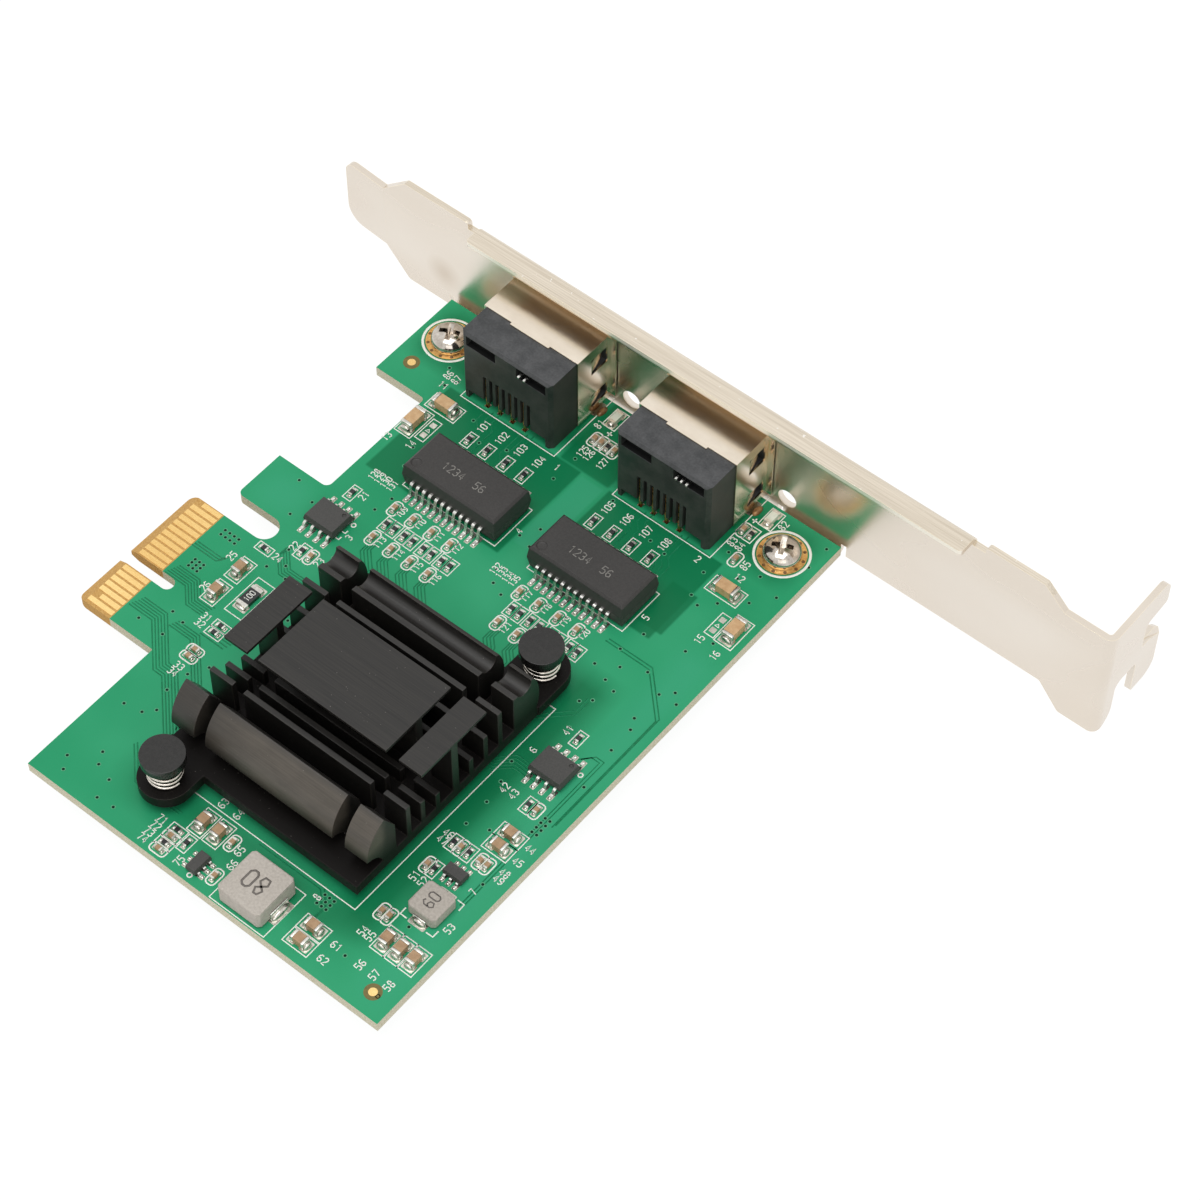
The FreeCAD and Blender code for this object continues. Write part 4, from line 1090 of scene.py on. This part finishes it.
ink_level = 0.005
draw_lines("board_outlines", frame_lines, ink_level, 0.19, "board_lacquer", white_ink)
draw_lines("board_numbers", number_lines, ink_level, 0.16, "board_lacquer", white_ink)
screw_rings = [circle(x, y, 3.5, 48) for x, y in screw_places]
draw_lines("screw_ring_ink", screw_rings, ink_level, 0.34, "board_lacquer", white_ink)

# Numbers on the moulded parts, just above their tops
above_top = 0.002
body_numbers = []
for name in transformers:
    box = solid_boxes(name + "_body")[0]
    x, y = flat_middle(box)
    body_numbers += number("1234", x - 1.7, y - 0.3, 0, 1.15) + number("56", x + 2.4, y - 0.3, 0, 1.15)
draw_lines("transformer_numbers", body_numbers, box[1].z + above_top, 0.14, "transformer_epoxy", dim_ink)
for name, text, turn in (("large_inductor", "80", 180), ("small_inductor", "60", 90)):
    box = solid_boxes(name + "_body")[0]
    scale = extent(box).x / 6.5
    strokes = number(text, *flat_middle(box), turn, 2.3 * scale)
    draw_lines(name + "_number", strokes, box[1].z + above_top, 0.3 * scale, "inductor_grey", dark_ink)
box = bodies["link_resistor"][0]
draw_lines("link_resistor_number", number("100", *flat_middle(box), 90, 0.75), box[1].z + above_top, 0.11,
           "resistor_black", white_ink)


# Traces and vias

def bundle(points, count, gap, lean=0.414):
    """Parallel traces side by side, which keep their gap round 45 degree bends."""
    return [([(x + i * gap * lean, y + i * gap) for x, y in points], False) for i in range(count)]


# Runs of traces on the component face: points, how many, gap and lean
runs = [([(5.6, 1.1), (9.0, 1.1), (11.0, -0.9), (13.4, -0.9)], 6, 0.36),
        ([(5.6, -5.2), (9.4, -5.2), (14.6, -10.4), (16.0, -10.4), (23.0, -17.4)], 6, 0.38),
        ([(11.5, -4.4), (15.0, -4.4), (21.6, -11.0), (22.6, -15.0)], 4, 0.38),
        ([(5.6, 7.0), (9.6, 7.0), (10.2, 7.6)], 3, -0.4),
        ([(14.6, 13.2), (14.6, 11.6), (16.6, 9.6), (19.5, 9.6)], 5, 0.36),
        ([(15.2, -2.9), (19.0, -2.9)], 3, 0.5)]
for x in (21.9, 24.6, 27.6, 30.6):
    drop = 2.2 + (x - 21.9) * 0.42
    runs.append(([(x, 19.7), (x, 18.6), (x + drop, 18.6 - drop), (x + drop, 15.6)], 4, 0.3, 1.0))
for x in (42.0, 45.0):
    runs.append(([(x, 19.7), (x, 18.2), (x + 1.2, 17.0), (x + 1.2, 15.6)], 4, 0.3, 1.0))
runs += [([(60.0, 6.3), (56.8, 6.3), (55.0, 4.5), (53.6, 4.5)], 5, 0.42, -0.414),
         ([(65.6, 2.8), (65.6, 22.0), (60.3, 27.3), (53.6, 27.3)], 2, 0.45),
         ([(62.2, 12.2), (63.4, 13.6), (64.6, 13.6), (64.6, -11.5)], 2, -0.4, 1.0),
         ([(53.0, 4.0), (53.0, 12.0), (57.8, 16.8), (57.8, 19.0)], 2, 0.4, -1.0)]
for x in jack_centres:
    runs += [([(x - 3.2, 45.2), (x - 3.2, 43.4), (x - 2.2, 42.4), (x - 2.2, 37.0)], 3, 0.35, 2.6),
             ([(x + 2.6, 45.2), (x + 2.6, 41.0), (x + 3.6, 40.0), (x + 3.6, 37.0)], 3, 0.35, 2.2)]
runs += [([(41.0, -20.4), (50.5, -20.4), (52.4, -22.3), (52.4, -26.0)], 2, 0.45),
         ([(20.2, -19.5), (24.0, -23.3), (31.0, -23.3)], 2, 0.4)]
traces = [line for run in runs for line in bundle(*run)]
trace_height = 0.016
draw_lines("board_traces", traces, 0.0, 0.18, "board_lacquer", trace_lacquer, trace_height)

# Vias in small fields, then scattered ones that keep clear of each other and of every part on the board
via_fields = (((7.0, 7.75, 8.5, 9.25), (9.6, 10.4)), ((7.2, 7.9, 8.6), (3.6, 4.2, 4.8)),
              ((51.4, 52.1, 52.8), (-20.6, -21.3, -22.0)), ((64.2, 64.9), (0.9, 1.7, 2.5, 3.3)))
vias = [(x, y) for columns, rows in via_fields for x in columns for y in rows]
standing = []
for entry in frame["record"]["subparts"]:
    if entry["node"] not in ("board", "bracket", "edge_fingers_top", "edge_fingers_bottom"):
        standing += solid_boxes(entry["node"])
part_margin, via_margin = 0.9, 2.2
scatter = random.Random(11)
tries = [(scatter.uniform(7.0, 66.0), scatter.uniform(-28.6, 55.5)) for _ in range(420)]
for x, y in tries:
    on_board = x > 14.2 or 15.8 < y < 22.8 or y > 42.0 or (-7.4 < y < 11.4 and not -1.5 < y < 1.5)
    crowded = any(low.x - part_margin < x < high.x + part_margin
                  and low.y - part_margin < y < high.y + part_margin for low, high in standing)
    near = any(abs(x - u) + abs(y - v) < via_margin for u, v in vias)
    if on_board and not crowded and not near:
        vias.append((x, y))
via_ring = disc_form(0.19, 0.3, 1.0, 12)
via_hole = disc_form(0.0, 0.22, 1.0, 10)
# Each via gets a lacquered rim and a dark disc of painted shade for its hole
via_layers = (("via_rims", via_ring, 0.012, via_rim), ("via_holes", via_hole, 0.009, via_hole_shade))
for face, level, turn in (("", 0.0, 0), ("underside_", board_back, upside_down)):
    for name, form, height, material in via_layers:
        set_forms(face + name, form, alike(vias, (1, 1, height), level, turn), "board_lacquer", material)
under_traces = bundle([(7.0, -3.0), (14.0, -3.0), (20.0, 3.0), (24.0, 3.0)], 5, 0.5)
under_traces += bundle([(7.0, 4.5), (12.0, 4.5), (19.5, 12.0), (24.0, 12.0)], 4, 0.5)
for x in jack_centres:
    under_traces += bundle([(x - 3.6, 44.6), (x - 3.6, 30.0), (x + 6.4, 20.0), (x + 6.4, 15.0)], 4, 0.5, 2.0)
draw_lines("underside_traces", under_traces, board_back, 0.2, "board_lacquer", trace_lacquer, trace_height)

# Gold rings under the screws with small plated holes, and two gold sighting marks
gold_ring = disc_form(1.6, 3.15, 0.03, 48)
set_forms("screw_ground_rings", gold_ring, alike(screw_places, (1, 1, 1)), "gold_plating", ring_gold)
ring_holes = [point for x, y in screw_places for point in circle(x, y, 2.82, 12, 0.5)[0]]
set_forms("screw_ring_holes", via_hole, alike(ring_holes, (1.1, 1.1, 0.034)), "gold_plating", flux_brown)
sighting_points = ((6.98, 45.2), (64.03, -26.6))
mark = disc_form(0.0, 0.55, 0.02, 24)
collar = disc_form(0.55, 1.1, 0.012, 24)
set_forms("sighting_marks", mark, alike(sighting_points, (1, 1, 1)), "gold_plating")
set_forms("sighting_mark_collars", collar, alike(sighting_points, (1, 1, 1)), "board_lacquer", bare_laminate)


# Screws: domed heads with a cross recess, and a ridged shank

def screw_form():
    head = [(0, 1.9), (0.8, 1.88), (1.45, 1.74), (1.95, 1.46), (2.3, 1.05), (2.48, 0.6), (2.5, 0.2),
            (2.42, 0.03), (1.45, 0.0)]
    shank = []
    for i in range(6):
        shank += [(1.45, -0.1 - i * 0.5), (1.2, -0.35 - i * 0.5)]
    made = turned_form("screw_form", head + shank + [(1.1, -3.0), (0, -3.0)], 44)
    blade = bmesh.new()
    corners = [(-1.62, 2.1), (1.62, 2.1), (0.5, 0.6), (-0.5, 0.6)]
    for turn in (0, 90):
        turned = Matrix.Rotation(math.radians(turn), 3, "Z")
        sides = [[blade.verts.new(turned @ Vector((x, y, z))) for x, z in corners] for y in (-0.34, 0.34)]
        blade.faces.new(sides[0])
        blade.faces.new(sides[1][::-1])
        for i in range(4):
            blade.faces.new([sides[0][i], sides[1][i], sides[1][(i + 1) % 4], sides[0][(i + 1) % 4]])
    bmesh.ops.recalc_face_normals(blade, faces=blade.faces)
    cutter = link_mesh("cross_cutter", blade)
    cut_away(made, cutter, use_self=True)
    bake_modifiers(made)
    bpy.data.objects.remove(cutter)
    return made


screw = screw_form()
screw_turn = 25
set_forms("bracket_screws_finished", screw, alike(screw_places, (1, 1, 1), turn=screw_turn), "screw_chrome",
          replaced=["bracket_screws"])

# Springs of round wire under the caps
springs = solid_boxes("push_pin_springs")
spring_margin = 0.25
coil_feet = [(*flat_middle(box), box[0].z + spring_margin) for box in springs]
coils = new_points("push_pin_springs_finished", coil_feet)
coil_size = extent(springs[0])
run_tree(coils, coil_tree, Coil_radius=(coil_size.x / 2 - spring_margin) * MM, Wire_radius=0.2 * MM,
         Height=(coil_size.z - 2 * spring_margin) * MM, Turns=3.5, Material=finishes["spring_steel"])
finish_piece(coils, "spring_steel", replaced=["push_pin_springs"])

# Tin ends of the status pins that show in each jack's rear recess
pin_offsets = ((2.5, 3.4), (2.5, 3.3, 4.1))
rear_pins = [(x + offset, 45.5) for x, offsets in zip(jack_centres, pin_offsets) for offset in offsets]
set_forms("jack_rear_pin_ends", block, alike(rear_pins, (0.32, 1.2, 0.32), 11.1), "tin_leads")

for form in (block, dome, via_ring, via_hole, gold_ring, mark, collar, screw):
    bpy.data.objects.remove(form)


# Leads with rounded bends, and pieces made from the solids with softened edges

def lead_form(reach, height, gauge, width):
    """Flat lead, bent twice to lie on its pad, that points to +Y and is centred on its box."""
    corners = [(0, height - gauge / 2), (reach * 0.3, height - gauge / 2), (reach * 0.56, gauge / 2),
               (reach, gauge / 2)]
    bend = min(reach * 0.14, height * 0.3)
    path = [Vector(corners[0])]
    for before, corner, after in zip(corners, corners[1:], corners[2:]):
        corner = Vector(corner)
        back = (Vector(before) - corner).normalized() * bend
        forward = (Vector(after) - corner).normalized() * bend
        for t in (0.0, 0.33, 0.67, 1.0):
            path.append(corner + back * (1 - t) ** 2 + forward * t ** 2)
    path.append(Vector(corners[-1]))
    shape = bmesh.new()
    loops = []
    for i, point in enumerate(path):
        ahead = (path[min(i + 1, len(path) - 1)] - path[max(i - 1, 0)]).normalized()
        lift = Vector((-ahead.y, ahead.x)) * gauge / 2
        loops.append([shape.verts.new((x, p.x - reach / 2, p.y)) for x, p in
                      ((-width / 2, point - lift), (width / 2, point - lift), (width / 2, point + lift),
                       (-width / 2, point + lift))])
    for low, high in zip(loops, loops[1:]):
        for i in range(4):
            shape.faces.new([low[i], low[(i + 1) % 4], high[(i + 1) % 4], high[i]])
    shape.faces.new(loops[0][::-1])
    shape.faces.new(loops[-1])
    bmesh.ops.recalc_face_normals(shape, faces=shape.faces)
    return link_mesh("lead_form", shape)


def dimple(x, y, z, radius):
    """Shallow round cutter for the mark at a moulded body's first lead."""
    profile = [(0, z + 0.3), (radius, z + 0.3), (radius, z - 0.1), (radius * 0.75, z - 0.2), (0, z - 0.2)]
    cutter = turned_form("dimple_cutter", profile, 24)
    cutter.data.transform(Matrix.Translation((x, y, 0)))
    cutter.data.transform(Matrix.Scale(MM, 4))
    return cutter


soften_edges("bracket", "bracket_steel", 0.1)
soften_edges("heatsink", "heatsink_black", 0.08)
for name in jacks:
    soften_edges(name + "_housing", "jack_plastic", 0.05)
    soften_edges(name + "_shield", "jack_shield", 0.04, 1)
# Moulded bodies are rounded where a face turns by more than this many degrees
moulded_angle = 12
# A dimple marks the first lead: its corner, low or high, inset and radius
for names, slot_name, corner, inset, radius in ((transformers, "transformer_epoxy", 0, 1.35, 0.7),
                                                (memories, "chip_epoxy", 1, -0.8, 0.28)):
    for name in names:
        box = solid_boxes(name + "_body")[0]
        cutter = dimple(box[corner].x + inset, box[corner].y + inset, box[1].z, radius)
        soften_edges(name + "_body", slot_name, 0.1, angle=moulded_angle, cutters=[cutter])
soften_edges("regulator_bodies", "chip_epoxy", 0.06, angle=moulded_angle)
for name in inductors:
    soften_edges(name + "_body", "inductor_grey", 0.12)
for name, slot_name, width in (("filter_capacitors_bodies", "tan_ceramic", 0.05),
                               ("filter_capacitors_end_caps", "tin_ends", 0.1),
                               ("power_capacitors_bodies", "brown_ceramic", 0.04),
                               ("power_capacitors_end_caps", "tin_ends", 0.08)):
    soften_edges(name, slot_name, width)
# The share of its box's width that a lead takes
lead_share = 0.84
for name, (body, pad_width, pad_length, gauge) in leaded.items():
    boxes = solid_boxes(name + "_leads")
    size = extent(boxes[0])
    form = lead_form(max(size.x, size.y), size.z, gauge, min(size.x, size.y) * lead_share)
    places = []
    for centre, size, along_y, side, reach, width in ends(boxes, solid_boxes(body), True):
        turn = 90 - 90 * side if along_y else -90 * side
        places.append(((centre.x, centre.y, centre.z - size.z / 2), (1, 1, 1), turn))
    set_forms(name + "_leads_finished", form, places, "tin_leads", replaced=[name + "_leads"])
    bpy.data.objects.remove(form)
for name in inductors:
    soften_edges(name + "_terminals", "tin_leads", 0.05)
soften_edges("push_pins", "pin_plastic", 0.25, 3)
